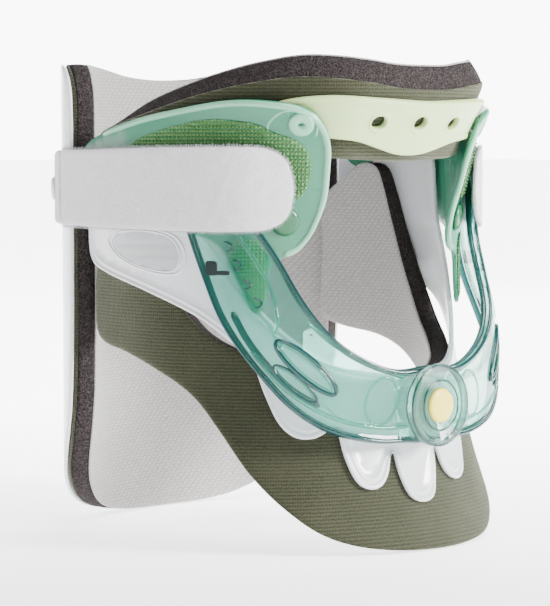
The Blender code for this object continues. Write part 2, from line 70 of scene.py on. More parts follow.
class Side(Enum):
    """The wearer's side that a piece belongs to."""

    RIGHT = -1
    LEFT = 1

    @property
    def word(self) -> str:
        """The side's name in piece names."""
        return self.name.lower()

    def turn(self, loop: Loop) -> Loop:
        """The loop drawn for the wearer's left, turned to this side."""
        return loop if self is Side.LEFT else mirrored(loop)


# ---------------------------------------------------------------- surfaces


def hermite(xs: Sequence[float], ys: Sequence[float], x: float) -> float:
    """A smooth value through points, held flat beyond both ends.

    Args:
        xs: Rising positions.
        ys: Values at those positions.
        x: Where to read the value.

    Returns:
        The interpolated value.
    """
    if x <= xs[0]:
        return ys[0]
    if x >= xs[-1]:
        return ys[-1]
    i = 0
    while x > xs[i + 1]:
        i += 1
    span = xs[i + 1] - xs[i]

    def slope(k: int) -> float:
        """Slope at a point from its neighbours."""
        lo, hi = max(k - 1, 0), min(k + 1, len(xs) - 1)
        return (ys[hi] - ys[lo]) / (xs[hi] - xs[lo])

    t = (x - xs[i]) / span
    return ((2 * t**3 - 3 * t**2 + 1) * ys[i] + (t**3 - 2 * t**2 + t) * span * slope(i)
            + (-2 * t**3 + 3 * t**2) * ys[i + 1] + (t**3 - t**2) * span * slope(i + 1))


class Skin:
    """A surface round the neck, given as a radius by angle from the front and by height."""

    def __init__(self, angles: Sequence[float], rows: Sequence[tuple[float, Sequence[float]]],
                 level: bool = False) -> None:
        """Samples the control radii onto a fine grid.

        Args:
            angles: Degrees from the front, 0 to 180.
            rows: Height in millimetres with its radii.
            level: Keeps offsets horizontal instead of along the true normal.
        """
        self.z0, self.z1 = -12, 200
        heights = [row[0] for row in rows]
        zs = np.arange(self.z0, self.z1 + 1)
        columns = [[hermite(angles, row[1], a) for row in rows] for a in range(0, 181)]
        self.grid = np.array([[hermite(heights, col, float(z)) for z in zs] for col in columns])
        a = np.radians(np.arange(0, 181))[:, None]
        x, y = self.grid * np.sin(a), -self.grid * np.cos(a)
        z = np.broadcast_to(zs.astype(float), x.shape)
        p = np.stack([x, y, z], axis=2)
        along = np.gradient(p, axis=0)
        along[0, :, 1] = 0.0
        along[0, :, 2] = 0.0
        along[-1, :, 1] = 0.0
        along[-1, :, 2] = 0.0
        up = np.gradient(p, axis=1)
        if level:
            up = np.zeros_like(p)
            up[..., 2] = 1.0
        n = np.cross(along, up)
        self.normals = n / np.linalg.norm(n, axis=2, keepdims=True)

    def _sample(self, table: Points, angle: Points, z: Points) -> Points:
        """Bilinear read of a table over folded angle and height."""
        a = np.clip(angle, 0, 179.999)
        h = np.clip(z - self.z0, 0, self.z1 - self.z0 - 1.001)
        i, k = a.astype(int), h.astype(int)
        s, t = (a - i)[:, None], (h - k)[:, None]
        if table.ndim == 2:
            table = table[..., None]
        return ((1 - s) * (1 - t) * table[i, k] + s * (1 - t) * table[i + 1, k]
                + (1 - s) * t * table[i, k + 1] + s * t * table[i + 1, k + 1])

    def at(self, angle: Points, z: Points, out: float | Points = 0.0) -> Points:
        """Points on the surface, moved outwards.

        Args:
            angle: Degrees from the front, positive to the wearer's left.
            z: Heights in millimetres.
            out: Offset outwards in millimetres, one or one for each point.

        Returns:
            An array of points in millimetres.
        """
        angle, z = np.asarray(angle, float), np.asarray(z, float)
        turned = (angle + 180.0) % 360.0 - 180.0
        folded, sign = np.abs(turned), np.where(turned < 0, -1.0, 1.0)
        r = self._sample(self.grid, folded, z)[:, 0]
        n = self._sample(self.normals, folded, z)
        a = np.radians(folded)
        p = np.stack([r * np.sin(a), -r * np.cos(a), z], axis=1)
        p = p + n * (np.ones_like(z) * out)[:, None]
        p[:, 0] *= sign
        return p

    def off(self, out: float) -> Face:
        """This surface moved outwards by a fixed distance."""
        return lambda angle, z: self.at(angle, z, out)

    def spot(self, angle: float, z: float, out: float = 0.0) -> Vector:
        """One point of the surface, in millimetres."""
        return Vector(self.at(np.array([angle]), np.array([z]), out)[0])

    def normal(self, angle: float, z: float) -> Vector:
        """The outward direction at one point."""
        return (self.spot(angle, z, 1.0) - self.spot(angle, z)).normalized()

    def seat(self, angle: float, z: float, side: Side) -> tuple[Vector, Vector]:
        """Where a pin sits on one side of the collar, and the way that its head faces."""
        at, out = self.spot(angle, z), self.normal(angle, z)
        at.x, out.x = at.x * side.value, out.x * side.value
        return at, out


FRONT = Skin((0, 20, 40, 60, 80, 100, 120), (
    (0, (92, 92, 91, 85, 80, 78, 77)),
    (10, (84, 85, 87, 83, 78, 76, 76)),
    (20, (78.5, 80, 83, 81, 76, 76, 76)),
    (40, (74, 74.5, 76.5, 78, 75, 75, 76)),
    (60, (71.5, 71.5, 71.5, 72, 74, 74, 76)),
    (80, (69, 69, 69, 70.5, 73, 73.5, 76)),
    (110, (66, 66, 67, 69, 72.5, 73.5, 76)),
    (150, (66, 66, 67, 69, 72.5, 73.5, 76))), level=True)
CHIN = Skin((0, 15, 25, 37, 50, 65, 80, 100, 120), (
    (140, (66, 66.5, 68.5, 70, 70.5, 71, 72.5, 73.5, 75)),
    (148, (69.5, 70.5, 72, 72.5, 72, 72, 73, 73.5, 75)),
    (160, (76, 76.6, 77.8, 76, 74, 73, 73, 73.5, 75)),
    (170, (82.5, 83, 83.5, 80.5, 77, 74.5, 73.5, 74, 75)),
    (183, (89, 89, 88.5, 84.5, 80, 76, 74, 74, 75))))
BACK = Skin((110, 120, 130, 140, 150, 165, 180), (
    (0, (82.5, 84, 84.5, 83.5, 81.6, 78, 77)),
    (90, (82, 83.8, 84.6, 83.5, 81.6, 77.9, 76)),
    (183, (82, 84.2, 85, 84.2, 82.4, 79, 77.5))), level=True)
YOKE = Skin((0, 10, 20, 30, 40, 50, 60, 75), (
    (40, (84.5, 84.9, 86, 87.3, 88, 87, 85, 82)),
    (68, (84.5, 84.9, 86, 87.5, 88.5, 88.2, 86, 83)),
    (86, (82, 82.5, 84, 86, 87, 86.5, 84.5, 82)),
    (103, (78, 78.5, 80, 82, 82.8, 82.6, 81.8, 80.5)),
    (120, (75, 76, 77, 78, 79.4, 80.6, 81.6, 82)),
    (150, (75, 76, 77, 78, 79.6, 81.6, 82, 82.2))))
ARM = Skin((28, 37, 45, 52, 60, 70, 80, 100, 120), (
    (86, (66, 68, 70, 72.6, 73, 74, 75.5, 77.2, 78.6)),
    (110, (66.5, 67.5, 70, 72.4, 73, 74, 75.8, 77.2, 78.6)),
    (124, (69.5, 69.5, 71, 72.6, 73.2, 74.2, 76, 77.2, 78.6)),
    (136, (73.5, 73, 73.2, 73.4, 73.4, 74.6, 76.2, 77.2, 78.6)),
    (148, (76.8, 76, 75.6, 74.8, 73.6, 74.4, 76, 77.2, 78.6)),
    (160, (81.3, 79.9, 78, 76, 74.2, 74.4, 76.2, 77.2, 78.6)),
    (170, (88.4, 86.3, 84, 80.4, 76.6, 75.8, 76.6, 77.2, 78.6))))
STRAP = Skin((38, 45, 52, 62, 76, 90, 104, 116, 125, 140), (
    (110, (78.2, 80.2, 82.2, 82.8, 82.7, 82.4, 83.2, 85.4, 86.0, 85.2)),
    (160, (78.2, 80.2, 82.2, 82.8, 82.7, 82.4, 83.2, 85.4, 86.0, 85.2))), level=True)


# ---------------------------------------------------------------- outlines


def mirrored(loop: Loop) -> Loop:
    """The same loop on the other side, still running the same way round."""
    return [(-a, z) for a, z in reversed(loop)]


def swung(path: Sequence[tuple[float, float]], s: float) -> Loop:
    """The path as drawn on the wearer's left, or with its angles turned to the right."""
    return [(a * s, z) for a, z in path]


def both_sides(first: tuple[float, float], half: Loop, last: tuple[float, float]) -> Loop:
    """A symmetric loop from its half on the wearer's left.

    Args:
        first: The point on the plane of symmetry where the half starts.
        half: Points on the wearer's left.
        last: The point on the plane of symmetry where the half ends.

    Returns:
        The whole loop.
    """
    return [first] + half + [last] + mirrored(half)


def rounded(loop: Loop, steps: int = 8, tension: float = 0.5) -> Loop:
    """A closed curve through the points.

    Args:
        loop: Control points.
        steps: Points made for each control point.
        tension: How far tangents reach, 0.5 for a full Catmull-Rom curve.

    Returns:
        The finer loop.
    """
    out: Loop = []
    n = len(loop)
    p = np.array(loop, float)
    for i in range(n):
        b, c = p[i], p[(i + 1) % n]
        mb = (c - p[i - 1]) * tension
        mc = (p[(i + 2) % n] - b) * tension
        for s in range(steps):
            t = s / steps
            q = ((2 * t**3 - 3 * t**2 + 1) * b + (t**3 - 2 * t**2 + t) * mb
                 + (-2 * t**3 + 3 * t**2) * c + (t**3 - t**2) * mc)
            out.append((float(q[0]), float(q[1])))
    return out


def oval(angle: float, z: float, wide: float, tall: float, turn: float = 0.0,
         points: int = 28) -> Loop:
    """A closed oval in angle and height, its half sizes in millimetres."""
    out: Loop = []
    c, s = math.cos(turn), math.sin(turn)
    for k in range(points):
        t = 2 * math.pi * k / points
        x, y = wide * math.cos(t), tall * math.sin(t)
        out.append((angle + (x * c - y * s) / PER_DEG, z + x * s + y * c))
    return out


def flat_loop(loop: Loop, pitch: float) -> Points:
    """The loop unrolled to millimetres, evenly spaced, anticlockwise."""
    p = np.array([(a * PER_DEG, z) for a, z in loop], float)
    closed = np.vstack([p, p[:1]])
    lengths = np.linalg.norm(np.diff(closed, axis=0), axis=1)
    far = np.concatenate([[0], np.cumsum(lengths)])
    count = max(8, int(round(far[-1] / pitch)))
    where = np.arange(count) * far[-1] / count
    out = np.stack([np.interp(where, far, closed[:, 0]), np.interp(where, far, closed[:, 1])], 1)
    x, y = out[:, 0], out[:, 1]
    area = np.sum(x * np.roll(y, -1) - np.roll(x, -1) * y)
    return out if area > 0 else out[::-1]


def inset(loop: Points, by: float) -> Points:
    """The loop moved inwards in small eased steps, so that tight corners don't cross.

    Args:
        loop: An anticlockwise loop, or a clockwise one for a hole.
        by: The distance in millimetres; negative moves it outwards.

    Returns:
        The moved loop, with as many points.
    """
    steps = max(1, int(math.ceil(abs(by) / 0.35)))
    for _ in range(steps):
        ahead, behind = np.roll(loop, -1, axis=0), np.roll(loop, 1, axis=0)
        along = ahead - behind
        along /= np.maximum(np.linalg.norm(along, axis=1, keepdims=True), 1e-9)
        loop = loop + np.stack([-along[:, 1], along[:, 0]], 1) * (by / steps)
        if abs(by) > 0.5:
            loop = loop * 0.7 + (np.roll(loop, -1, axis=0) + np.roll(loop, 1, axis=0)) * 0.15
    return loop


def contains(loop: Points, at: Points) -> Points:
    """Whether each point lies inside the loop."""
    a, b = loop, np.roll(loop, -1, axis=0)
    x, y = at[:, 0][:, None], at[:, 1][:, None]
    cross = (a[:, 1] > y) != (b[:, 1] > y)
    dy = np.where(b[:, 1] == a[:, 1], 1e-12, b[:, 1] - a[:, 1])
    hit = cross & (x < (b[:, 0] - a[:, 0]) * (y - a[:, 1]) / dy + a[:, 0])
    return hit.sum(axis=1) % 2 == 1


def distance(loop: Points, at: Points) -> Points:
    """How far each point lies from the closed loop."""
    a, b = loop, np.roll(loop, -1, axis=0)
    d = b - a
    best = np.full(len(at), 1e9)
    for start in range(0, len(at), 400):
        q = at[start:start + 400]
        rel = q[:, None, :] - a[None]
        t = np.clip((rel * d).sum(2) / np.maximum((d * d).sum(1), 1e-9), 0, 1)
        gap = rel - t[..., None] * d
        best[start:start + 400] = np.sqrt((gap * gap).sum(2)).min(axis=1)
    return best


# ---------------------------------------------------------------- meshes


def add_piece(name: str, points: Points, faces: list[list[int]], mats: list[bpy.types.Material],
              slots: list[int] | None = None) -> bpy.types.Object:
    """An object from points in millimetres round the neck axis.

    Args:
        name: The piece's name.
        points: Its points.
        faces: Its faces as lists of point numbers.
        mats: Its materials.
        slots: The material of each face, by number.

    Returns:
        The new object, smooth shaded.
    """
    mesh = bpy.data.meshes.new(name)
    moved = (np.asarray(points, float) + np.array([0, NECK_Y, 0])) * MM
    mesh.from_pydata(moved.tolist(), [], faces)
    for mat in mats:
        mesh.materials.append(mat)
    mesh.update()
    mesh.polygons.foreach_set("use_smooth", [True] * len(mesh.polygons))
    if slots:
        mesh.polygons.foreach_set("material_index", slots)
    mesh.calc_loop_triangles()
    tris = np.empty(len(mesh.loop_triangles) * 3, np.int32)
    mesh.loop_triangles.foreach_get("vertices", tris)
    corners = moved[tris.reshape(-1, 3)]
    volume = np.einsum("ij,ij->", corners[:, 0], np.cross(corners[:, 1], corners[:, 2]))
    if volume < 0:
        mesh.flip_normals()
    obj = bpy.data.objects.new(name, mesh)
    bpy.context.scene.collection.objects.link(obj)
    return obj


@dataclass(frozen=True)
class Edge:
    """How a shell's edge turns from its outer face to its inner one.

    Each row is (distance in from the outline, place from -1 inner to 1 outer, material,
    lift off the outer face in millimetres).
    """

    rows: tuple[tuple[float, float, int, float], ...]

    @staticmethod
    def soft(width: float, body: int = 0) -> "Edge":
        """A moulded edge, rounded over the given width."""
        turns = [math.radians(a) for a in (90, 55, 25, 0, -25, -55, -90)]
        return Edge(tuple((width * (1 - math.cos(a)), math.sin(a), body, 0.0) for a in turns))

    @staticmethod
    def lipped(width: float, lip: float, tall: float) -> "Edge":
        """A moulded edge with a raised lip along its outer face."""
        rows = ((width + lip + 0.9, 1.0, 0, 0.0), (width + lip + 0.3, 1.0, 0, tall * 0.15),
                (width + lip - 0.3, 1.0, 0, tall * 0.85), (width + lip / 2, 1.0, 0, tall),
                (width * 0.75, 1.0, 0, tall * 0.9), (width * 0.25, 0.8, 0, tall * 0.55))
        return Edge(rows + ((0.0, 0.3, 0, 0.0), (0.0, -0.3, 0, 0.0), (width * 0.3, -0.8, 0, 0.0),
                            (width, -1.0, 0, 0.0)))

    @staticmethod
    def double_ridge() -> "Edge":
        """A thin moulded sheet's edge, with a rolled lip and a second line inside it."""
        return Edge(((3.6, 1.0, 0, 0.0), (3.1, 1.0, 0, 0.34), (2.6, 1.0, 0, 0.34), (2.1, 1.0, 0, 0.0),
                     (1.6, 1.0, 0, 0.0), (1.1, 1.0, 0, 0.5), (0.5, 0.9, 0, 0.6), (0.1, 0.6, 0, 0.35),
                     (0.0, 0.0, 0, 0.0), (0.15, -0.8, 0, 0.0), (0.5, -1.0, 0, 0.0)))

    @staticmethod
    def cut_foam(bulge: float = 0.15) -> "Edge":
        """A die-cut foam edge, swelling a little between its skins."""
        return Edge(((0.9, 1.0, 0, 0.0), (0.25, 0.93, 0, 0.0), (0.0, 0.7, 0, 0.0),
                     (-bulge, 0.25, 0, 0.0), (-bulge, -0.25, 0, 0.0), (0.0, -0.7, 0, 0.0),
                     (0.25, -0.93, 0, 0.0), (0.9, -1.0, 0, 0.0)))

    @staticmethod
    def pinched(dip: float, width: float = 3.0) -> "Edge":
        """A fabric skin whose outer face rolls down to its cut edge."""
        rows = [(width, 1.0, 0, 0.0), (width * 0.66, 1.0, 0, -dip * 0.12),
                (width * 0.36, 1.0, 0, -dip * 0.4), (width * 0.14, 1.0, 0, -dip * 0.8), (0.0, 0.7, 0, -dip),
                (0.0, -0.7, 0, 0.0), (0.3, -1.0, 0, 0.0)]
        return Edge(tuple(rows))


def shell(name: str, mats: list[bpy.types.Material], outline: Loop, lower: Face, upper: Face,
          edge: Edge, pitch: float = 2.6, holes: Sequence[Loop] = (),
          relief: Callable[[Points, Points], Points] | None = None,
          inner_slot: int = 0) -> bpy.types.Object:
    """A closed shell over an outline, with a shaped edge.

    Args:
        name: The piece's name.
        mats: Its materials; the outer face takes the first.
        outline: The loop in angle and height.
        lower: The inner face.
        upper: The outer face.
        edge: The edge's section.
        pitch: Distance between points in millimetres.
        holes: Loops cut through the shell.
        relief: Height in millimetres raised on the outer face, from unrolled x and z.
        inner_slot: Material number of the inner face.

    Returns:
        The new object.
    """
    loops = [flat_loop(outline, pitch)] + [flat_loop(h, min(pitch, 1.2))[::-1] for h in holes]
    faces: list[list[int]] = []
    slots: list[int] = []
    flat: list[Points] = []
    share: list[Points] = []
    lifts: list[Points] = []
    starts: list[list[int]] = []
    total = 0
    for loop in loops:
        mine = []
        for by, place, _, lift in edge.rows:
            mine.append(total)
            flat.append(inset(loop, by))
            share.append(np.full(len(loop), place))
            lifts.append(np.full(len(loop), lift))
            total += len(loop)
        starts.append(mine)
        n = len(loop)
        for r in range(len(edge.rows) - 1):
            a, b = mine[r], mine[r + 1]
            for k in range(n):
                faces.append([a + k, b + k, b + (k + 1) % n, a + (k + 1) % n])
                slots.append(edge.rows[r + 1][2] if r + 1 < len(edge.rows) // 2 else edge.rows[r][2])
    rims = [inset(loop, edge.rows[0][0]) for loop in loops]
    low, high = rims[0].min(axis=0), rims[0].max(axis=0)
    rows = np.arange(low[1] + pitch / 2, high[1], pitch * 0.87)
    grid = []
    for k, z in enumerate(rows):
        xs = np.arange(low[0] + pitch * (0.5 if k % 2 else 1.0), high[0], pitch)
        grid.append(np.stack([xs, np.full(len(xs), z)], 1))
    inner = np.vstack(grid) if grid else np.zeros((0, 2))
    keep = contains(rims[0], inner)
    for rim in rims[1:]:
        keep &= ~contains(rim[::-1], inner)
    inner = inner[keep]
    for rim in rims:
        inner = inner[distance(rim, inner) > pitch * 0.6]
    coords = [Vector(p) for rim in rims for p in rim] + [Vector(p) for p in inner]
    links = []
    at = 0
    for rim in rims:
        links += [(at + k, at + (k + 1) % len(rim)) for k in range(len(rim))]
        at += len(rim)
    made = geometry.delaunay_2d_cdt(coords, links, [], 0, 1e-6)
    verts2d, back = made[0], made[3]
    tri = np.array([t for t in made[2] if len(t) == 3])
    xy = np.array([(v.x, v.y) for v in verts2d])
    centre = xy[tri].mean(axis=1)
    good = contains(rims[0], centre)
    for rim in rims[1:]:
        good &= ~contains(rim[::-1], centre)
    e1, e2 = xy[tri[:, 1]] - xy[tri[:, 0]], xy[tri[:, 2]] - xy[tri[:, 0]]
    area = e1[:, 0] * e2[:, 1] - e1[:, 1] * e2[:, 0]
    on_rim = np.array([min(b) if b else -1 for b in back])
    good &= ~((np.abs(area) < 1e-4) & (on_rim[tri] < at).all(axis=1))
    tri = np.where((area < 0)[:, None], tri[:, ::-1], tri)[good]
    first_inner = total
    count_in = len(inner)
    flat += [inner, inner]
    share += [np.ones(count_in), -np.ones(count_in)]
    lifts.append(np.zeros(2 * count_in))
    top_of, low_of = {}, {}
    at = 0
    for which, rim in enumerate(rims):
        for k in range(len(rim)):
            top_of[at + k] = starts[which][0] + k
            low_of[at + k] = starts[which][-1] + k
        at += len(rim)
    for k in range(count_in):
        top_of[at + k] = first_inner + k
        low_of[at + k] = first_inner + count_in + k
    for t in tri:
        ids = [min(back[i]) for i in t]
        faces.append([top_of[i] for i in ids])
        slots.append(0)
        faces.append([low_of[i] for i in reversed(ids)])
        slots.append(inner_slot)
    uv = np.vstack(flat)
    part = np.concatenate(share)
    angle, z = uv[:, 0] / PER_DEG, uv[:, 1]
    up, down = upper(angle, z), lower(angle, z)
    points = down + (up - down) * ((part + 1) / 2)[:, None]
    out = up - down
    out /= np.maximum(np.linalg.norm(out, axis=1, keepdims=True), 1e-9)
    raised = np.concatenate(lifts)
    if relief is not None:
        raised = raised + relief(uv[:, 0], uv[:, 1]) * (part > 0.95)
    points = points + out * raised[:, None]
    return add_piece(name, points, faces, mats, slots)


def lathe(name: str, mat: bpy.types.Material, profile: Sequence[tuple[float, float]],
          origin: Vector, axis: Vector, segments: int = 72,
          wave: Callable[[float, float, float], float] | None = None) -> bpy.types.Object:
    """A turned piece.

    Args:
        name: The piece's name.
        mat: Its material.
        profile: Radius and place along the axis, from the front middle to the back middle.
        origin: Where the axis starts, in millimetres.
        axis: The way to the front.
        segments: Points round.
        wave: Scales the radius by angle, radius and place.

    Returns:
        The new object.
    """
    axis = axis.normalized()
    side = (Vector((0, 0, 1)) - axis * axis.z).normalized()
    other = axis.cross(side)
    points: list[Vector] = []
    rings: list[list[int]] = []
    for r, h in profile:
        if r < 1e-6:
            rings.append([len(points)])
            points.append(origin + axis * h)
            continue
        ring = []
        for k in range(segments):
            a = 2 * math.pi * k / segments
            rr = r * (wave(a, r, h) if wave else 1.0)
            ring.append(len(points))
            points.append(origin + axis * h + (side * math.cos(a) + other * math.sin(a)) * rr)
        rings.append(ring)
    faces: list[list[int]] = []
    closed = len(rings[0]) > 1
    for i in range(len(rings) - (0 if closed else 1)):
        a, b = rings[i], rings[(i + 1) % len(rings)]
        for k in range(segments):
            n = (k + 1) % segments
            if len(a) == 1:
                faces.append([a[0], b[n], b[k]])
            elif len(b) == 1:
                faces.append([a[k], a[n], b[0]])
            else:
                faces.append([a[k], a[n], b[n], b[k]])
    return add_piece(name, np.array([tuple(p) for p in points]), faces, [mat])


def bead(name: str, mat: bpy.types.Material, path: Points, radius: float, closed: bool = False,
         flat: float = 1.0, sides: int = 8) -> bpy.types.Object:
    """A rounded rib that follows a path.

    Args:
        name: The piece's name.
        mat: Its material.
        path: Points in millimetres.
        radius: Half its width.
        closed: Whether it runs back to its start.
        flat: How tall it is for its width.
        sides: Points round.

    Returns:
        The new object.
    """
    n = len(path)
    points, faces = [], []
    for i in range(n):
        before = path[i - 1] if (i or closed) else path[i]
        after = path[(i + 1) % n] if (i < n - 1 or closed) else path[i]
        along = after - before
        along /= max(np.linalg.norm(along), 1e-9)
        out = np.array([path[i][0], path[i][1], 0.0])
        out -= along * (out @ along)
        out /= max(np.linalg.norm(out), 1e-9)
        side = np.cross(along, out)
        end = not closed and i in (0, n - 1)
        size = radius * (0.35 if end else 1.0)
        for k in range(sides):
            a = 2 * math.pi * k / sides
            points.append(path[i] + side * math.cos(a) * size + out * math.sin(a) * size * flat)
    for i in range(n if closed else n - 1):
        a, b = i * sides, ((i + 1) % n) * sides
        for k in range(sides):
            q = (k + 1) % sides
            faces.append([a + k, a + q, b + q, b + k])
    if not closed:
        faces.append(list(range(sides))[::-1])
        faces.append(list(range((n - 1) * sides, n * sides)))
    return add_piece(name, np.array(points), faces, [mat])


# ---------------------------------------------------------------- finishes


class Nodes:
    """A material's node tree, with short calls for the nodes that the finishes share."""

    def __init__(self, name: str) -> None:
        """Starts a material with its shader."""
        self.mat = bpy.data.materials.new(name)
        self.mat.use_nodes = True
        self.tree = self.mat.node_tree
        self.shader = self.tree.nodes["Principled BSDF"]

    def add(self, kind: str, **values: object) -> bpy.types.Node:
        """Adds a node and sets its properties."""
        made = self.tree.nodes.new(kind)
        for key, value in values.items():
            setattr(made, key, value)
        return made

    def link(self, source: bpy.types.NodeSocket, target: bpy.types.NodeSocket) -> None:
        """Joins two sockets."""
        self.tree.links.new(source, target)

    def set(self, **values: object) -> None:
        """Sets the shader's sockets, with underscores for spaces."""
        for key, value in values.items():
            self.shader.inputs[key.replace("_", " ")].default_value = value

    def place(self) -> bpy.types.NodeSocket:
        """Where each point is, in metres."""
        return self.add("ShaderNodeTexCoord").outputs["Object"]

    def unrolled(self) -> bpy.types.NodeSocket:
        """Arc length round the neck, depth and height, so that a weave runs round the collar."""
        parts = self.add("ShaderNodeSeparateXYZ")
        self.link(self.place(), parts.inputs[0])
        back = self.math("SUBTRACT", parts.outputs["Y"], NECK_Y * MM)
        angle = self.math("ARCTAN2", parts.outputs["X"], self.math("MULTIPLY", back, -1.0))
        arc = self.math("MULTIPLY", angle, MEAN_RADIUS * MM)
        joined = self.add("ShaderNodeCombineXYZ")
        self.link(arc, joined.inputs[0])
        self.link(parts.outputs["Z"], joined.inputs[2])
        return joined.outputs[0]

    def math(self, kind: str, a: object, b: object = 0.0) -> bpy.types.NodeSocket:
        """A maths node on sockets or numbers."""
        made = self.add("ShaderNodeMath", operation=kind)
        for socket, value in zip(made.inputs, (a, b)):
            if isinstance(value, bpy.types.NodeSocket):
                self.link(value, socket)
            else:
                socket.default_value = value
        return made.outputs[0]

    def noise(self, where: bpy.types.NodeSocket, scale: float, detail: float = 3.0,
              rough: float = 0.55) -> bpy.types.NodeSocket:
        """Cloudy variation, 0 to 1."""
        made = self.add("ShaderNodeTexNoise")
        made.inputs["Scale"].default_value = scale
        made.inputs["Detail"].default_value = detail
        made.inputs["Roughness"].default_value = rough
        self.link(where, made.inputs["Vector"])
        return made.outputs["Fac"]

    def cells(self, where: bpy.types.NodeSocket, scale: float) -> bpy.types.NodeSocket:
        """Distance to the nearest of many scattered points."""
        made = self.add("ShaderNodeTexVoronoi")
        made.inputs["Scale"].default_value = scale
        self.link(where, made.inputs["Vector"])
        return made.outputs["Distance"]

    def rows(self, where: bpy.types.NodeSocket, pitch: float, axis: str,
             wander: float = 0.0) -> bpy.types.NodeSocket:
        """Parallel rows at a pitch in metres, 0 to 1."""
        made = self.add("ShaderNodeTexWave", bands_direction=axis)
        made.inputs["Scale"].default_value = 2 * math.pi / 20.0 / pitch
        made.inputs["Distortion"].default_value = wander
        made.inputs["Detail"].default_value = 2.0
        made.inputs["Detail Scale"].default_value = 3.0
        self.link(where, made.inputs["Vector"])
        return made.outputs["Fac"]

    def blend(self, amount: object, a: Sequence[float], b: Sequence[float]) -> bpy.types.NodeSocket:
        """Two colours mixed by a socket."""
        made = self.add("ShaderNodeMix", data_type="RGBA")
        if isinstance(amount, bpy.types.NodeSocket):
            self.link(amount, made.inputs["Factor"])
        for socket, value in ((made.inputs[6], a), (made.inputs[7], b)):
            if isinstance(value, bpy.types.NodeSocket):
                self.link(value, socket)
            else:
                socket.default_value = (*value, 1.0)
        return made.outputs[2]

    def spread(self, value: bpy.types.NodeSocket, low: float, high: float, to_low: float = 0.0,
               to_high: float = 1.0) -> bpy.types.NodeSocket:
        """A value stretched to a new range and held inside it."""
        made = self.add("ShaderNodeMapRange")
        for key, number in (("From Min", low), ("From Max", high), ("To Min", to_low), ("To Max", to_high)):
            made.inputs[key].default_value = number
        self.link(value, made.inputs["Value"])
        return made.outputs["Result"]

    def bump(self, height: bpy.types.NodeSocket, depth: float, strength: float = 1.0) -> None:
        """Relief on the shader, its depth in metres."""
        made = self.add("ShaderNodeBump")
        made.inputs["Distance"].default_value = depth
        made.inputs["Strength"].default_value = strength
        self.link(height, made.inputs["Height"])
        self.link(made.outputs[0], self.shader.inputs["Normal"])

    def colour(self, value: bpy.types.NodeSocket) -> None:
        """Drives the base colour."""
        self.link(value, self.shader.inputs["Base Color"])

    def roughness(self, value: bpy.types.NodeSocket) -> None:
        """Drives the roughness."""
        self.link(value, self.shader.inputs["Roughness"])


@dataclass(frozen=True)
class LoopFacing:
    """Brushed loop knit with fine rows round the collar."""

    light: tuple[float, float, float] = (0.066, 0.068, 0.037)
    dark: tuple[float, float, float] = (0.010, 0.0105, 0.006)
    pitch: float = 0.00128

    def make(self, name: str) -> bpy.types.Material:
        """The fabric's material."""
        n = Nodes(name)
        where = n.unrolled()
        rows = n.rows(where, self.pitch, "Z", 1.6)
        wales = n.rows(where, self.pitch * 0.72, "X", 3.0)
        fuzz = n.noise(n.place(), 1500.0, 3.0, 0.7)
        patch = n.noise(n.place(), 45.0, 3.0)
        knit = n.math("ADD", n.math("MULTIPLY", rows, 0.36), n.math("MULTIPLY", wales, 0.14))
        height = n.math("ADD", knit, n.math("MULTIPLY", fuzz, 0.85))
        shade = n.spread(n.math("ADD", height, n.math("MULTIPLY", patch, 0.3)), 0.45, 1.35)
        n.colour(n.blend(shade, self.dark, self.light))
        n.bump(height, 0.00045, 0.8)
        n.set(Roughness=0.95, Sheen_Weight=0.35, Sheen_Roughness=0.5,
              Sheen_Tint=(0.8, 0.85, 0.68, 1.0), Specular_IOR_Level=0.15)
        return n.mat


@dataclass(frozen=True)
class CutFoam:
    """Charcoal open-cell foam with pale flecks, as it shows at a cut edge."""

    light: tuple[float, float, float] = (0.055, 0.045, 0.045)
    dark: tuple[float, float, float] = (0.004, 0.003, 0.003)

    def make(self, name: str) -> bpy.types.Material:
        """The foam's material."""
        n = Nodes(name)
        pores = n.cells(n.place(), 1500.0)
        grain = n.noise(n.place(), 900.0, 4.0, 0.7)
        height = n.math("ADD", n.math("MULTIPLY", pores, 0.8), grain)
        n.colour(n.blend(n.spread(height, 0.55, 1.25), self.dark, self.light))
        n.bump(height, 0.0006, 0.9)
        n.set(Roughness=0.97, Specular_IOR_Level=0.12)
        return n.mat


@dataclass(frozen=True)
class LiningKnit:
    """Pale brushed lining with a faint square knit."""

    light: tuple[float, float, float] = (0.42, 0.405, 0.395)
    dark: tuple[float, float, float] = (0.17, 0.163, 0.158)
    pitch: float = 0.0016

    def make(self, name: str) -> bpy.types.Material:
        """The lining's material."""
        n = Nodes(name)
        where = n.unrolled()
        rows = n.rows(where, self.pitch, "DIAGONAL", 3.2)
        wales = n.rows(where, self.pitch * 0.8, "Z", 3.6)
        fuzz = n.noise(n.place(), 1300.0, 3.0, 0.65)
        knit = n.math("MULTIPLY", rows, wales)
        height = n.math("ADD", n.math("MULTIPLY", knit, 0.4), n.math("MULTIPLY", fuzz, 0.6))
        n.colour(n.blend(n.spread(height, 0.0, 0.7), self.dark, self.light))
        n.bump(height, 0.00035, 0.7)
        n.set(Roughness=0.92, Sheen_Weight=0.3, Sheen_Roughness=0.5, Specular_IOR_Level=0.2)
        return n.mat


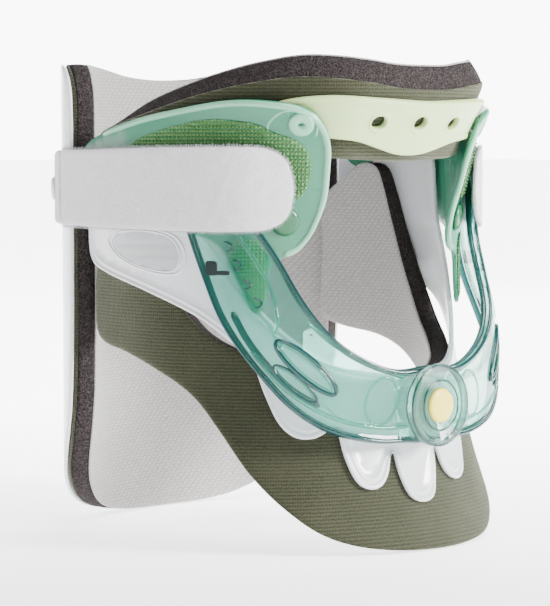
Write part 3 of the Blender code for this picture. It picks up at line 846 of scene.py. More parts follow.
@dataclass(frozen=True)
class StrapPile:
    """White napped loop pile, soft and slightly matted."""

    light: tuple[float, float, float] = (0.72, 0.72, 0.74)
    dark: tuple[float, float, float] = (0.56, 0.56, 0.59)

    def make(self, name: str) -> bpy.types.Material:
        """The pile's material."""
        n = Nodes(name)
        pile = n.noise(n.place(), 1100.0, 4.0, 0.72)
        clumps = n.noise(n.place(), 240.0, 3.0)
        height = n.math("ADD", n.math("MULTIPLY", pile, 0.95), n.math("MULTIPLY", clumps, 0.4))
        n.colour(n.blend(n.spread(height, 0.5, 0.95), self.dark, self.light))
        n.bump(height, 0.0006, 0.7)
        n.set(Roughness=0.96, Sheen_Weight=0.5, Sheen_Roughness=0.45, Specular_IOR_Level=0.1)
        return n.mat


@dataclass(frozen=True)
class ClearPlastic:
    """Tinted see-through moulding, polished or lightly frosted."""

    tint: tuple[float, float, float]
    rough: float = 0.06
    clear: float = 1.0
    mottle: float = 0.06
    alpha: float = 1.0

    def make(self, name: str) -> bpy.types.Material:
        """The moulding's material."""
        n = Nodes(name)
        flow = n.noise(n.place(), 38.0, 2.0)
        deep = tuple(c * (1.0 - self.mottle * 2.0) for c in self.tint)
        n.colour(n.blend(flow, deep, self.tint))
        fine = n.noise(n.place(), 60.0, 2.0)
        n.roughness(n.spread(fine, 0.3, 0.7, self.rough * 0.75, self.rough * 1.3))
        n.bump(n.noise(n.place(), 45.0, 1.0), 0.0003, 0.2)
        n.set(Transmission_Weight=self.clear, IOR=1.46, Alpha=self.alpha, Coat_Weight=0.25,
              Coat_Roughness=0.08, Specular_IOR_Level=0.5)
        return n.mat


@dataclass(frozen=True)
class SatinPlastic:
    """Opaque moulded plastic with a very fine texture."""

    colour: tuple[float, float, float]
    rough: float = 0.38
    grain: float = 0.00006
    glow: float = 0.0
    alpha: float = 1.0

    def make(self, name: str) -> bpy.types.Material:
        """The plastic's material."""
        n = Nodes(name)
        tone = n.noise(n.place(), 30.0, 2.0)
        low = tuple(c * 0.94 for c in self.colour)
        n.colour(n.blend(tone, low, self.colour))
        grain = n.noise(n.place(), 2400.0, 2.0)
        n.bump(grain, self.grain, 0.6)
        n.roughness(n.spread(grain, 0.3, 0.7, self.rough * 0.85, self.rough * 1.15))
        n.set(Subsurface_Weight=self.glow, Subsurface_Scale=0.004, Alpha=self.alpha,
              Specular_IOR_Level=0.5)
        return n.mat


@dataclass(frozen=True)
class HookField:
    """Moulded hooks in close rows on a tinted base."""

    base: tuple[float, float, float] = (0.05, 0.22, 0.075)
    tip: tuple[float, float, float] = (0.26, 0.46, 0.13)
    pitch: float = 0.0014

    def make(self, name: str) -> bpy.types.Material:
        """The hook field's material."""
        n = Nodes(name)
        where = n.unrolled()
        rows = n.rows(where, self.pitch, "Z")
        wales = n.rows(where, self.pitch, "X")
        hooks = n.math("MULTIPLY", rows, wales)
        n.colour(n.blend(n.spread(hooks, 0.15, 0.6), self.base, self.tip))
        n.bump(hooks, 0.0006, 0.8)
        n.set(Roughness=0.45, Transmission_Weight=0.25, IOR=1.46, Specular_IOR_Level=0.4)
        return n.mat


@dataclass(frozen=True)
class Finishes:
    """Every material of the collar, made once."""

    knit: bpy.types.Material
    foam: bpy.types.Material
    lining: bpy.types.Material
    pile: bpy.types.Material
    milky: bpy.types.Material
    etched: bpy.types.Material
    teal: bpy.types.Material
    # near-black teal that paints the shade the clear moulding shows at its edges
    teal_edge: bpy.types.Material
    dial: bpy.types.Material
    green: bpy.types.Material
    mint: bpy.types.Material
    hooks: bpy.types.Material
    rivet: bpy.types.Material
    cream: bpy.types.Material
    button: bpy.types.Material
    acetal: bpy.types.Material
    mark: bpy.types.Material

    @staticmethod
    def make() -> "Finishes":
        """Makes the materials."""
        return Finishes(
            knit=LoopFacing().make("loop_facing"),
            foam=CutFoam().make("foam"),
            lining=LiningKnit().make("lining"),
            pile=StrapPile().make("strap_pile"),
            milky=ClearPlastic((0.84, 0.85, 0.88), rough=0.22, clear=0.08, mottle=0.02,
                               alpha=0.88).make("milky_sheet"),
            etched=ClearPlastic((0.56, 0.57, 0.59), rough=0.5, clear=0.1, mottle=0.12).make("etched_window"),
            teal=ClearPlastic((0.10, 0.62, 0.46), rough=0.03, clear=0.9, alpha=0.62).make("teal_clear"),
            dial=ClearPlastic((0.30, 0.80, 0.66), rough=0.02, clear=0.95, alpha=0.55).make("dial_clear"),
            # painted shade: this near-black teal stands in for the darkening that thick clear teal plastic
            # shows at its edges, rims and folds
            teal_edge=ClearPlastic((0.003, 0.075, 0.075), rough=0.03, clear=0.5,
                                   alpha=0.9).make("teal_edge"),
            green=ClearPlastic((0.035, 0.27, 0.15), rough=0.22, clear=0.2, alpha=0.97).make("green_clear"),
            mint=ClearPlastic((0.26, 0.62, 0.42), rough=0.2, clear=0.2).make("mint_rim"),
            hooks=HookField().make("hook_field"),
            rivet=SatinPlastic((0.012, 0.12, 0.045), rough=0.2, glow=0.1).make("green_rivet"),
            cream=SatinPlastic((0.50, 0.66, 0.29), rough=0.36, glow=0.25).make("cream_cup"),
            button=SatinPlastic((0.88, 0.70, 0.09), rough=0.3, glow=0.05).make("yellow_button"),
            acetal=SatinPlastic((0.8, 0.82, 0.79), rough=0.4).make("acetal"),
            mark=SatinPlastic((0.004, 0.012, 0.012), rough=0.85).make("height_mark"),
        )


# ---------------------------------------------------------------- pieces


def ripple(angle: Points, z: Points, size: float = 0.08) -> Points:
    """Soft unevenness of a laminate held by hand-fitted plastic, in millimetres."""
    a = angle * PER_DEG
    return size * (np.sin(0.115 * a + 1.3) * np.sin(0.17 * z + 0.4) + 0.6 * np.sin(0.31 * a - 0.23 * z))


def wavy(skin: Skin, out: float, drop: float = 0.0) -> Face:
    """A surface offset that carries the laminate's unevenness.

    Args:
        skin: The surface.
        out: Offset outwards in millimetres.
        drop: How far the face is pulled down along the pad's top edge.

    Returns:
        The face.
    """
    def face(angle: Points, z: Points) -> Points:
        """Points of the face."""
        t = np.clip((z - 150.0) / 22.0, 0, 1)
        low = z - drop * t * t * (3 - 2 * t)
        return skin.at(angle, low, out + ripple(angle, z))
    return face


def line_on(skin: Skin, path: Loop, out: float, steps: int = 8, closed: bool = False) -> Points:
    """A smooth line laid on a surface through a few points.

    Args:
        skin: The surface.
        path: Points in angle and height.
        out: Offset outwards in millimetres.
        steps: Points made for each one given.
        closed: Whether the line runs back to its start.

    Returns:
        Points in millimetres.
    """
    if closed:
        fine = rounded(path, steps)
    else:
        far = list(range(len(path)))
        count = (len(path) - 1) * steps + 1
        fine = [(hermite(far, [p[0] for p in path], i / steps),
                 hermite(far, [p[1] for p in path], i / steps))
                for i in range(count)]
    return skin.at(np.array([p[0] for p in fine]), np.array([p[1] for p in fine]), out)


def dress(obj: bpy.types.Object, body: str, slot: str, *nodes: str) -> bpy.types.Object:
    """Sets a piece on its body and hides the plain nodes that it stands for."""
    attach(obj, body)
    if nodes:
        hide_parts(*nodes)
    return obj


@dataclass
class Laminate:
    """A die-cut pad: knit facing, foam core and lining, bonded face to face."""

    name: str
    body: str
    node: str
    outline: Loop
    skin: Skin
    finishes: Finishes
    lining_outline: Loop | None = None
    bevel: float = 0.0
    top: float = 0.0
    facing: float = 1.0
    foam: float = 7.0
    lining: float = 0.9
    pitch: float = 2.8
    made: list[bpy.types.Object] = field(default_factory=list)

    def build(self) -> list[bpy.types.Object]:
        """Makes the three layers.

        Returns:
            The layers, facing first.
        """
        f = self.finishes
        low = self.top - self.facing
        deep = low - self.foam
        layers = (
            ("facing", f.knit, "loop_facing", low + 0.02, self.top, Edge.pinched(0.55, 2.4)),
            ("foam", f.foam, "foam", deep, low, Edge.cut_foam()),
            ("lining", f.lining, "lining", deep - self.lining, deep - 0.02,
             Edge(((0.3, 1.0, 0, 0.0), (0.0, 0.7, 0, 0.0), (0.1, -0.2, 0, 0.0), (0.8, -0.8, 0, 0.0),
                   (1.8, -1.0, 0, 0.0)))),
        )
        for word, mat, slot, lower, upper, edge in layers:
            loop = self.lining_outline if word == "lining" and self.lining_outline else self.outline
            drops = [self.bevel * (h - deep) / (self.top - deep) for h in (lower, upper)]
            piece = shell(f"{self.name}_{word}", [mat], loop, wavy(self.skin, lower, max(drops[0], 0.0)),
                          wavy(self.skin, upper, max(drops[1], 0.0)), edge, self.pitch)
            dress(piece, self.body, slot, f"{self.node}_{word}")
            self.made.append(piece)
        return self.made

    def dress(self) -> None:
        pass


FRONT_HALF: Loop = [(0, 0), (18, 1.5), (30, 6), (40, 15), (50, 28), (60, 45), (70, 58), (82, 66.5), (95, 72),
                    (106, 74.5), (111.8, 78), (113, 84), (112.8, 96), (112.5, 108), (112, 128), (109, 138),
                    (102, 143.5), (95, 142), (91, 132), (86, 116), (78, 98), (67, 82), (55, 74), (40, 68),
                    (20, 64)]
CHIN_HALF: Loop = [(15, 145), (30, 146), (45, 147.5), (60, 148), (80, 148.6), (100, 148.4), (110, 147.4),
                   (114, 149.4), (113.2, 153.5), (108.5, 158.5), (100, 163), (84, 170), (66, 176), (50, 180),
                   (36, 182), (20, 180), (10, 178)]
BACK_HALF: Loop = [(166, 0.3), (153, 2.5), (142, 8), (132, 18), (124, 31), (119, 46), (117.5, 62),
                   (116.8, 80), (116.5, 110), (116.5, 140), (116.6, 164), (118.2, 175.5), (123.5, 181.6),
                   (135, 183), (150, 182), (165, 179), (180, 178)]
PANEL_HALF: Loop = [(4.6, 18.6), (7.2, 27), (8.3, 35.5), (9.4, 35.5), (11, 28.6), (13.6, 24), (17.5, 22.5),
                    (21.6, 25.5), (24.6, 35), (26.2, 45.6), (27.4, 46), (30, 43.9), (33.5, 42), (38.5, 42.6),
                    (43, 47.6), (47, 58), (51.5, 71), (60, 80), (69.5, 88), (85, 96), (103, 102),
                    (110.6, 105.6), (113.6, 114), (112.5, 134), (104, 143.4), (90, 146.6), (78, 148),
                    (72.6, 145.4), (71, 134), (68.6, 122), (62.5, 112), (56, 102), (50, 91.5), (38, 78),
                    (26, 69), (10, 65)]
YOKE_HALF: Loop = [(9, 40.2), (17, 40.5), (30, 45), (40, 54), (47.5, 66), (52, 74), (58, 86.5), (62, 98),
                   (65.5, 110), (70, 130), (72.3, 142), (70.8, 148.6), (65.6, 149.2), (59.5, 144), (54, 132),
                   (48, 119), (43.2, 110), (36, 92), (30, 81), (23, 73.5), (14, 68), (8.5, 66.8)]
ARM_HALF: Loop = [(28.5, 142), (29, 130), (32, 119), (36.6, 112), (42, 109), (45.2, 107), (46.2, 100),
                  (47.4, 91), (50, 88), (53, 94), (57, 106), (61, 114), (72, 120), (86, 129), (100, 137),
                  (110, 142), (113.8, 147), (110, 151.3), (102, 155), (84, 161), (66, 166), (54, 168),
                  (44, 167.5), (36, 165), (31, 159), (28.8, 151)]
PATCH_HALF: Loop = [(34, 145), (34.8, 136), (38, 131.5), (44, 131.5), (48, 137), (51, 145), (58, 149.8),
                    (72, 150.4), (84, 147.6), (88.4, 149.2), (84, 153.6), (72, 158.4), (62, 160.7),
                    (50, 159.6), (44, 156), (37, 152)]
CUP_HALF: Loop = [(6, 148.5), (13, 150.6), (21, 153.2), (29, 154.2), (36, 154.6), (42, 156.2), (45, 160),
                  (44.5, 165.5), (41, 168), (30, 169.6), (15, 168.8)]
STRAP_HALF: Loop = [(39.6, 130), (39.4, 137), (41.4, 145.4), (46.6, 149.6), (54, 150.3), (66, 150.2),
                    (80, 150), (96, 149.5), (108, 149.2), (117, 149), (117.3, 142), (117.3, 127),
                    (117, 120.4), (108, 120.1), (96, 119.8), (80, 119.5), (66, 119.2), (54, 119.1),
                    (46.6, 119.8), (41.4, 123.6)]


class FrontHalf:
    """The front half: its pad, the fingered sheet and the yoke that carries the dial."""

    body = "front_base"

    def __init__(self, finishes: Finishes) -> None:
        """Keeps the finishes."""
        self.f = finishes
        past_end = [self._flap(a, z) for a, z in FRONT_HALF]
        self.pad = Laminate("front_rest", self.body, "front_pad",
                            rounded(both_sides(FRONT_HALF[0], FRONT_HALF[1:], (0, 63))), FRONT, finishes,
                            rounded(both_sides(past_end[0], past_end[1:], (0, 63))))

    @staticmethod
    def _flap(a: float, z: float) -> tuple[float, float]:
        """A point of the lining's outline, which runs past the foam at the pad's rear ends."""
        if a > 111:
            return a + 5.5, z
        return (a + 2, z) if a > 105 and z < 80 else (a, z)

    def build(self) -> None:
        """Makes the pad, the sheet and the yoke."""
        self.pad.build()
        LOG.info("front pad: facing, foam and lining")
        self._sheet()
        LOG.info("front sheet with five fingers and two wings")
        self._yoke()
        LOG.info("yoke frame")

    def _sheet(self) -> None:
        """The thin fingered sheet and the textured window in each wing."""
        outline = rounded(both_sides((0, 16.2), PANEL_HALF, (0, 64.5)))
        sheet = shell("front_sheet", [self.f.milky], outline, FRONT.off(0.5), FRONT.off(1.75),
                      Edge.double_ridge(), 2.4)
        dress(sheet, self.body, "milky_panel", "front_panel")
        window: Loop = [(76.5, 103.6), (88, 105.6), (97, 110), (100, 114.6), (96, 118), (84, 118.6),
                        (76, 116), (73.2, 109)]
        for side in Side:
            loop = side.turn(window)
            pane = shell(f"window_{side.word}", [self.f.etched], rounded(loop), FRONT.off(1.6),
                         FRONT.off(1.95),
                         Edge.soft(0.25), 1.6,
                         relief=lambda x, z: 0.14 * np.sin(x * 3.9) * np.sin(z * 3.9))
            dress(pane, self.body, "milky_panel")
            for k, (grow, out) in enumerate(((1.0, 1.85), (1.13, 1.85))):
                mid = (86 * side.value, 111.5)
                ring = [(mid[0] + (a - mid[0]) * grow, mid[1] + (z - mid[1]) * grow) for a, z in loop]
                line = bead(f"window_line_{k + 1}_{side.word}", self.f.milky,
                            line_on(FRONT, ring, out, 8, True), 0.42, True, 0.8)
                dress(line, self.body, "milky_panel")
            brow = line_on(FRONT, [(s * side.value, z) for s, z in
                                   ((111.5, 140.6), (104, 140.9), (92, 142.6), (80, 144.4), (71, 141))], 1.8)
            dress(bead(f"wing_line_{side.word}", self.f.milky, brow, 0.45, False, 0.8), self.body,
                  "milky_panel")

    def _yoke(self) -> None:
        """The clear frame, with its thick edges, slots, detents and height marks; its edge beads, slot rims,
        corner ribs and detents are dark teal, which is painted shade.
        """
        outline = rounded(both_sides((0, 39), YOKE_HALF, (0, 68)))
        bore = oval(0, 53.5, 5.2, 5.2)
        frame_piece = shell("yoke_moulding", [self.f.teal], outline, YOKE.off(-2.3), YOKE.off(0.0),
                            Edge.lipped(0.7, 1.5, 0.55), 2.2, [bore])
        dress(frame_piece, self.body, "teal_clear", "yoke_frame")
        # the front and rear edge beads carry painted shade: dark teal in place of the clear rims' own
        # darkening
        for word, depth, size in (("front", 0.1, 0.8), ("rear", -2.6, 1.25)):
            run = inset(flat_loop(outline, 3.0), 0.75)
            path = YOKE.at(run[:, 0] / PER_DEG, run[:, 1], depth)
            dress(bead(f"yoke_edge_{word}", self.f.teal_edge, path, size, True, 1.0, 6), self.body,
                  "teal_clear")
        for side in Side:
            s = side.value
            slots = ((36.5, 69.5, 13.6, 3.5, 0.9), (39.2, 63.6, 9.5, 2.5, 0.55))
            for k, (a, z, wide, tall, size) in enumerate(slots):
                # each slot's outer rim is painted shade in dark teal; its inner lip stays clear teal
                for grow, mat, word in ((1.0, self.f.teal_edge, "rim"), (0.72, self.f.teal, "lip")):
                    loop = oval(a * s, z, wide * (grow + 1) / 2, tall * grow, 0.8 * s, 24)
                    dress(bead(f"slot_{word}_{k + 1}_{side.word}", mat, line_on(YOKE, loop, 0.35, 1, True),
                               size * grow, True), self.body, "teal_clear")
            # a dark teal rib laid inside each leg's corner is painted shade
            corner_shade_line = line_on(YOKE, swung(((55, 90), (51, 80), (46, 70.5), (40, 61.5), (33, 55)), s), -1.6)
            dress(bead(f"corner_web_{side.word}", self.f.teal_edge, corner_shade_line, 1.35, False, 0.8), self.body,
                  "teal_clear")
            ridges = {
                "inner": [(67.5, 143), (60.5, 131), (54.5, 119), (49, 108), (45, 98), (43.5, 88), (44, 82)],
                "foot": [(50, 76), (41, 61), (30, 51), (18, 46.5), (8, 46)],
                "brow": [(36, 86), (29, 77), (21, 70.5), (14, 66.5), (9.5, 64.5)],
            }
            for word, path in ridges.items():
                line = line_on(YOKE, swung(path, s), 0.15)
                dress(bead(f"yoke_ridge_{word}_{side.word}", self.f.teal, line, 0.8, False, 0.7), self.body,
                      "teal_clear")
            dish = line_on(YOKE, oval(16.5 * s, 56, 6.2, 9.0, 0.25 * s, 20), 0.1, 1, True)
            dress(bead(f"dish_rim_{side.word}", self.f.teal, dish, 0.6, True, 0.6), self.body, "teal_clear")
            # the detents' dark teal is painted shade on the clear hooks
            for k, (a, z) in enumerate(((57.3, 113.5), (55, 106.8), (52.3, 99.6), (49.4, 93))):
                hook = [(a, z + 2.0), (a - 1.7, z + 0.9), (a - 2.0, z - 0.9), (a - 0.4, z - 2.0)]
                line = line_on(YOKE, [(x * s, y) for x, y in hook], -0.1, 5)
                dress(bead(f"detent_{k + 1}_{side.word}", self.f.teal_edge, line, 0.45, False, 1.0),
                      self.body, "teal_clear")
            for k, (a, z, w, h) in enumerate(((60.6, 105.6, 2.0, 2.6), (57.4, 103.9, 2.3, 0.8))):
                plate = shell(f"height_mark_{k + 1}_{side.word}", [self.f.mark],
                              rounded([((a + da * w / PER_DEG) * s, z + dz * h) for da, dz in
                                       ((-1, -1), (1, -1), (1, 1), (-1, 1))], 4, 0.12),
                              YOKE.off(0.3), YOKE.off(0.7), Edge.soft(0.15), 1.5)
                dress(plate, self.body, "teal_clear")

    def dress(self) -> None:
        self.pad.dress()


@dataclass
class HeightDial:
    """The turned height dial with its lock button."""

    finishes: Finishes
    radius: float = 15.5
    thick: float = 4.6
    button: float = 6.5

    def build(self) -> None:
        """Makes the dial, its rings and the button."""
        f, t, r = self.finishes, self.thick, self.radius
        at, out = Vector((0, -85.2, 53.5)), Vector((0, -1, 0))
        b = self.button + 0.3
        disc = [(0.0, t - 4.2), (b, t - 4.2), (b, t - 0.25), (b + 0.3, t), (8.9, t), (9.3, t - 0.15),
                (9.7, t - 0.65), (10.2, t - 0.8), (12.1, t - 0.8), (12.6, t - 0.65), (13.0, t - 0.15),
                (13.4, t), (14.6, t), (15.15, t - 0.2), (r - 0.05, t - 0.7), (r, 1.6), (r - 0.25, 1.0),
                (r - 0.9, 0.65), (12.6, 0.35), (11.9, 0.0), (4.4, 0.0), (4.0, -0.4), (4.0, -8.0),
                (0.0, -8.0)]
        dial = lathe("dial_disc", f.dial, disc, at, out, 96)
        dress(dial, "height_dial", "teal_clear", "height_dial")
        # the dial's three dark teal rings are painted shade along its rims
        for k, (radius, h, size) in enumerate(((r - 0.35, t - 0.5, 0.42), (9.4, t - 0.1, 0.3),
                                               (r - 0.45, 1.2, 0.36))):
            ring = np.array([tuple(at + Vector((radius * math.sin(a), -h, radius * math.cos(a))))
                             for a in np.linspace(0, 2 * math.pi, 72, endpoint=False)])
            dress(bead(f"dial_ring_{k + 1}", f.teal_edge, ring, size, True), "height_dial", "teal_clear")
        face = [(0, t + 1.0), (2.6, t + 0.98), (4.6, t + 0.9), (5.6, t + 0.75), (6.2, t + 0.45),
                (self.button, t - 0.1), (self.button, t - 2.0), (0, t - 2.0)]
        cap = lathe("button_cap", f.button, face, at, out, 64)
        dress(cap, "lock_button", "yellow_button", "lock_button")
        seat = [(0, t - 3.75), (5.6, t - 3.75), (5.6, t - 4.15), (0, t - 4.15)]
        dress(lathe("button_seat", f.acetal, seat, at, out, 40), "height_dial", "acetal")
        LOG.info("height dial and lock button")


class ChinLift:
    """The two side arms that carry the chin support and take the straps."""

    body = "chin_lift"

    def __init__(self, finishes: Finishes) -> None:
        """Keeps the finishes."""
        self.f = finishes

    def build(self) -> None:
        """Makes both arms with their patches, rims and rivets."""
        for side in Side:
            self._arm(side)
            self._patch(side)
            LOG.info("%s arm, hook patch and rivet", side.word)

    def _arm(self, side: Side) -> None:
        """The moulded arm, its pale lip, its recess and its rivet."""
        f, s = self.f, side.value
        arm = shell(f"side_arm_{side.word}", [f.green], rounded(side.turn(ARM_HALF)), ARM.off(0.35),
                    ARM.off(2.2),
                    Edge.soft(0.9), 2.2, [oval(37 * s, 159.5, 3.1, 3.1), oval(41.5 * s, 123, 3.1, 3.1)])
        dress(arm, self.body, "green_clear", f"arm_{side.word}")
        lip: Loop = [(100, 154.8), (84, 160), (66, 164.9), (54, 166.9), (44, 166.4), (36.6, 164),
                     (32, 158.4), (29.8, 151), (29.5, 142), (30, 130.4), (32.9, 119.8), (37.2, 113),
                     (42, 110.2)]
        path = line_on(ARM, swung(lip, s), 1.85)
        dress(bead(f"arm_lip_{side.word}", f.mint, path, 1.25, False, 0.95, 10), self.body, "green_clear")
        bowl: Loop = [(33, 154.5), (33, 161), (36.5, 164.2), (42, 164), (45.5, 159), (45, 153.5),
                      (41, 150.6)]
        dress(bead(f"arm_recess_{side.word}", f.mint, line_on(ARM, swung(bowl, s), 2.05, 8, False), 0.5,
                   False, 0.7), self.body, "green_clear")
        tongue: Loop = [(47.5, 94), (49.5, 90.5), (51.6, 95), (55.2, 105), (57.4, 112), (54, 116),
                        (48.5, 115), (47.4, 108)]
        strip = shell(f"tongue_mesh_{side.word}", [f.hooks], rounded(side.turn(tongue)), ARM.off(2.15),
                      ARM.off(2.6),
                      Edge.soft(0.2), 1.6)
        dress(strip, self.body, "hook_patch")
        at, out = ARM.seat(41.5, 123, side)
        head = [(0, 4.25), (2.2, 4.2), (4.0, 4.0), (5.0, 3.6), (5.4, 3.0), (5.4, 2.35), (2.7, 2.3),
                (2.7, 0.2), (5.0, 0.15), (5.1, -0.5), (4.5, -1.1), (3.0, -1.4), (0, -1.5)]
        dress(lathe(f"rivet_head_{side.word}", f.rivet, head, at, out, 48), self.body, "green_rivet",
              f"arm_rivet_{side.word}")

    def _patch(self, side: Side) -> None:
        """The hook field on the arm's outer face, with its rows of moulded hooks."""
        loop = rounded(side.turn(PATCH_HALF))
        patch = shell(f"hook_field_{side.word}", [self.f.hooks], loop, ARM.off(2.15), ARM.off(2.85),
                      Edge.soft(0.3), 2.0)
        dress(patch, self.body, "hook_patch", f"hook_patch_{side.word}")
        ring = inset(flat_loop(loop, 1.5), 0.8)
        low, high = ring.min(axis=0), ring.max(axis=0)
        grid = [(x + (0.75 if k % 2 else 0.0), z) for k, z in enumerate(np.arange(low[1], high[1], 1.3))
                for x in np.arange(low[0], high[0], 1.5)]
        spots = np.array(grid)
        spots = spots[contains(ring, spots)]
        a, z = spots[:, 0] / PER_DEG, spots[:, 1]
        foot, tip = ARM.at(a, z, 2.8), ARM.at(a, z, 3.5)
        out = tip - foot
        out /= np.linalg.norm(out, axis=1, keepdims=True)
        flat = np.cross(out, np.array([0, 0, 1.0]))
        up = np.cross(flat, out)
        points, faces = [], []
        for i in range(len(spots)):
            base = len(points)
            for height, wide in ((foot[i], 0.34), (tip[i] - up[i] * 0.15, 0.24)):
                for c, d in ((-1, -1), (1, -1), (1, 1), (-1, 1)):
                    points.append(height + (flat[i] * c + up[i] * d) * wide)
            for q in range(4):
                n = (q + 1) % 4
                faces.append([base + q, base + n, base + 4 + n, base + 4 + q])
            faces.append([base + 4, base + 5, base + 6, base + 7])
            faces.append([base + 3, base + 2, base + 1, base])
        dress(add_piece(f"hooks_{side.word}", np.array(points), faces, [self.f.hooks]), self.body,
              "hook_patch")


class ChinSupport:
    """The chin cup with its own pad, hung on the arms' pivots."""

    body = "chin_support"

    def __init__(self, finishes: Finishes) -> None:
        """Keeps the finishes."""
        self.f = finishes
        self.pad = Laminate("chin_rest", self.body, "chin_pad",
                            rounded(both_sides((0, 144.5), CHIN_HALF, (0, 177.5))),
                            CHIN, finishes, bevel=7.0)

    def build(self) -> None:
        """Makes the pad, the cup and the pivots."""
        self.pad.build()
        LOG.info("chin pad: facing, foam and lining")
        vents = [oval(a, 160.5, 3.3, 2.3) for a in (-15, 0, 15)]
        outline = rounded(both_sides((0, 148), CUP_HALF, (0, 168)))
        cup = shell("chin_cup_moulding", [self.f.cream], outline, CHIN.off(0.3), CHIN.off(2.6),
                    Edge.lipped(0.7, 1.2, 0.45), 2.0, vents)
        dress(cup, self.body, "cream_cup", "chin_cup")
        for side in Side:
            self._pivot(side)
        LOG.info("chin cup with vents and pivots")

    def _pivot(self, side: Side) -> None:
        """A pale pivot pin with a slotted head."""
        at, out = ARM.seat(37, 159.5, side)
        pin = [(0, 3.1), (0.9, 3.1), (1.2, 3.5), (2.6, 3.75), (3.8, 3.6), (4.6, 3.2), (4.75, 2.7),
               (4.6, 2.35), (2.7, 2.3), (2.7, -0.9), (0, -0.9)]
        dress(lathe(f"pivot_pin_{side.word}", self.f.mint, pin, at, out, 48), self.body, "green_rivet",
              f"chin_pivot_{side.word}")
        slot_line = np.array([tuple(at + out * 3.45 + Vector((0, 0, 1)).cross(out) * t) for t in (-1.5, -0.5,
                                                                                                  0.5, 1.5)])
        dress(bead(f"pivot_slot_{side.word}", self.f.rivet, slot_line, 0.42, False), self.body,
              "green_rivet")

    def dress(self) -> None:
        self.pad.dress()


class BackHalf:
    """The back half: its outer sheet, pad and the fixed ends of the straps."""

    body = "back_half"

    def __init__(self, finishes: Finishes) -> None:
        """Keeps the finishes."""
        self.f = finishes
        self.outline = rounded([(180, 0)] + BACK_HALF + [(360 - a, z) for a, z in reversed(BACK_HALF[:-1])])
        self.pad = Laminate("back_rest", self.body, "back_pad", self.outline, BACK, finishes, top=-2.0)

    def build(self) -> None:
        """Makes the pad, the outer sheet and the strap ends."""
        self.pad.build()
        LOG.info("back pad: facing, foam and lining")
        back_sheet = shell("back_sheet", [self.f.milky], self.outline, BACK.off(-1.4), BACK.off(0.0),
                           Edge.soft(0.5), 3.0,
                           [oval(180, 92, 9, 14), oval(160, 120, 4, 9), oval(200, 120, 4, 9),
                            oval(160, 60, 4, 9),
                            oval(200, 60, 4, 9)])
        dress(back_sheet, self.body, "milky_panel", "back_panel")
        LOG.info("back sheet with vents")
        for side in Side:
            s = side.value
            base: Loop = [(118.5, 120.8), (126, 121.2), (133, 122), (133.6, 134), (133, 146), (126, 147.8),
                          (118.5, 148.6), (118.4, 134)]
            patch = shell(f"strap_end_{side.word}", [self.f.pile], rounded(swung(base, s), 6, 0.3),
                          STRAP.off(0.0), STRAP.off(1.7), Edge.soft(0.6), 1.8)
            dress(patch, self.body, "strap", f"strap_base_{side.word}")
            at, out = STRAP.seat(127, 134, side)
            head = [(0, 3.1), (2.4, 3.05), (3.9, 2.75), (4.5, 2.2), (4.5, 1.75), (2.2, 1.7), (2.2, -1.6),
                    (0, -1.6)]
            dress(lathe(f"strap_stud_{side.word}", self.f.acetal, head, at, out, 40), self.body, "acetal",
                  f"strap_rivet_{side.word}")

    def dress(self) -> None:
        self.pad.dress()


@dataclass
class Strap:
    """One napped closing strap with its hook tab."""

    side: Side
    finishes: Finishes
    thick: float = 1.6

    def build(self) -> None:
        """Makes the strap, the nap that stands off its edge and the tab under its tip."""
        s = self.side.value
        body = f"strap_{self.side.word}"
        loop = swung(STRAP_HALF, s)
        strap = shell(f"napped_{body}", [self.finishes.pile], rounded(loop), STRAP.off(0.0),
                      STRAP.off(self.thick),
                      Edge.soft(0.55), 1.7, relief=lambda x,
                      z: 0.12 * np.sin(x * 2.1 + z) * np.sin(z * 2.7 - x * 0.6))
        dress(strap, body, "strap", body)
        tab: Loop = [(41.5, 128), (41.7, 134), (42.5, 140), (46, 143), (50, 143), (50, 136), (50, 130),
                     (46, 124.6)]
        under = shell(f"hook_tab_{self.side.word}", [self.finishes.hooks], rounded(swung(tab, s), 6, 0.35),
                      STRAP.off(-1.1), STRAP.off(-0.05), Edge.soft(0.3), 1.6)
        dress(under, body, "hook_patch", f"strap_hook_tab_{self.side.word}")
        self._nap(body, loop)
        LOG.info("%s strap", self.side.word)

    def _nap(self, body: str, loop: Loop) -> None:
        """Short loose fibres along the strap's cut edge and round tip."""
        edge = flat_loop(rounded(loop), 0.32)
        out2 = edge - inset(edge, 0.3)
        out2 /= np.maximum(np.linalg.norm(out2, axis=1, keepdims=True), 1e-9)
        points, faces = [], []
        for i in range(len(edge)):
            for layer in range(3):
                seed = noise.random_unit_vector()
                reach = 0.5 + 0.55 * abs(seed.x)
                lean = out2[i] * reach + np.array([seed.y, seed.z]) * 0.45
                deep = 0.3 + 0.5 * layer + 0.2 * seed.x
                a0, z0 = edge[i][0] / PER_DEG, edge[i][1]
                a1, z1 = (edge[i][0] + lean[0]) / PER_DEG, edge[i][1] + lean[1]
                p = STRAP.at(np.array([a0 - out2[i][0] * 0.3 / PER_DEG, a0, (a0 + a1) / 2, a1]),
                             np.array([z0 - out2[i][1] * 0.3, z0, (z0 + z1) / 2 + 0.08 * seed.y, z1]),
                             np.array([deep, deep, deep + 0.15 * seed.z, deep + 0.4 * seed.y]))
                base = len(points)
                for k, q in enumerate(p):
                    w = 0.075 * (1 - 0.25 * k)
                    points += [q + np.array([0, 0, w]), q - np.array([w, w, 0]), q + np.array([w, -w, -w])]
                for k in range(3):
                    for e in range(3):
                        g = (e + 1) % 3
                        faces.append([base + 3 * k + e, base + 3 * k + g, base + 3 * k + 3 + g,
                                      base + 3 * k + 3 + e])
                faces.append([base + 9, base + 10, base + 11])
                faces.append([base + 2, base + 1, base])
        nap = add_piece(f"nap_{body}", np.array(points), faces, [self.finishes.pile])
        dress(nap, body, "strap")


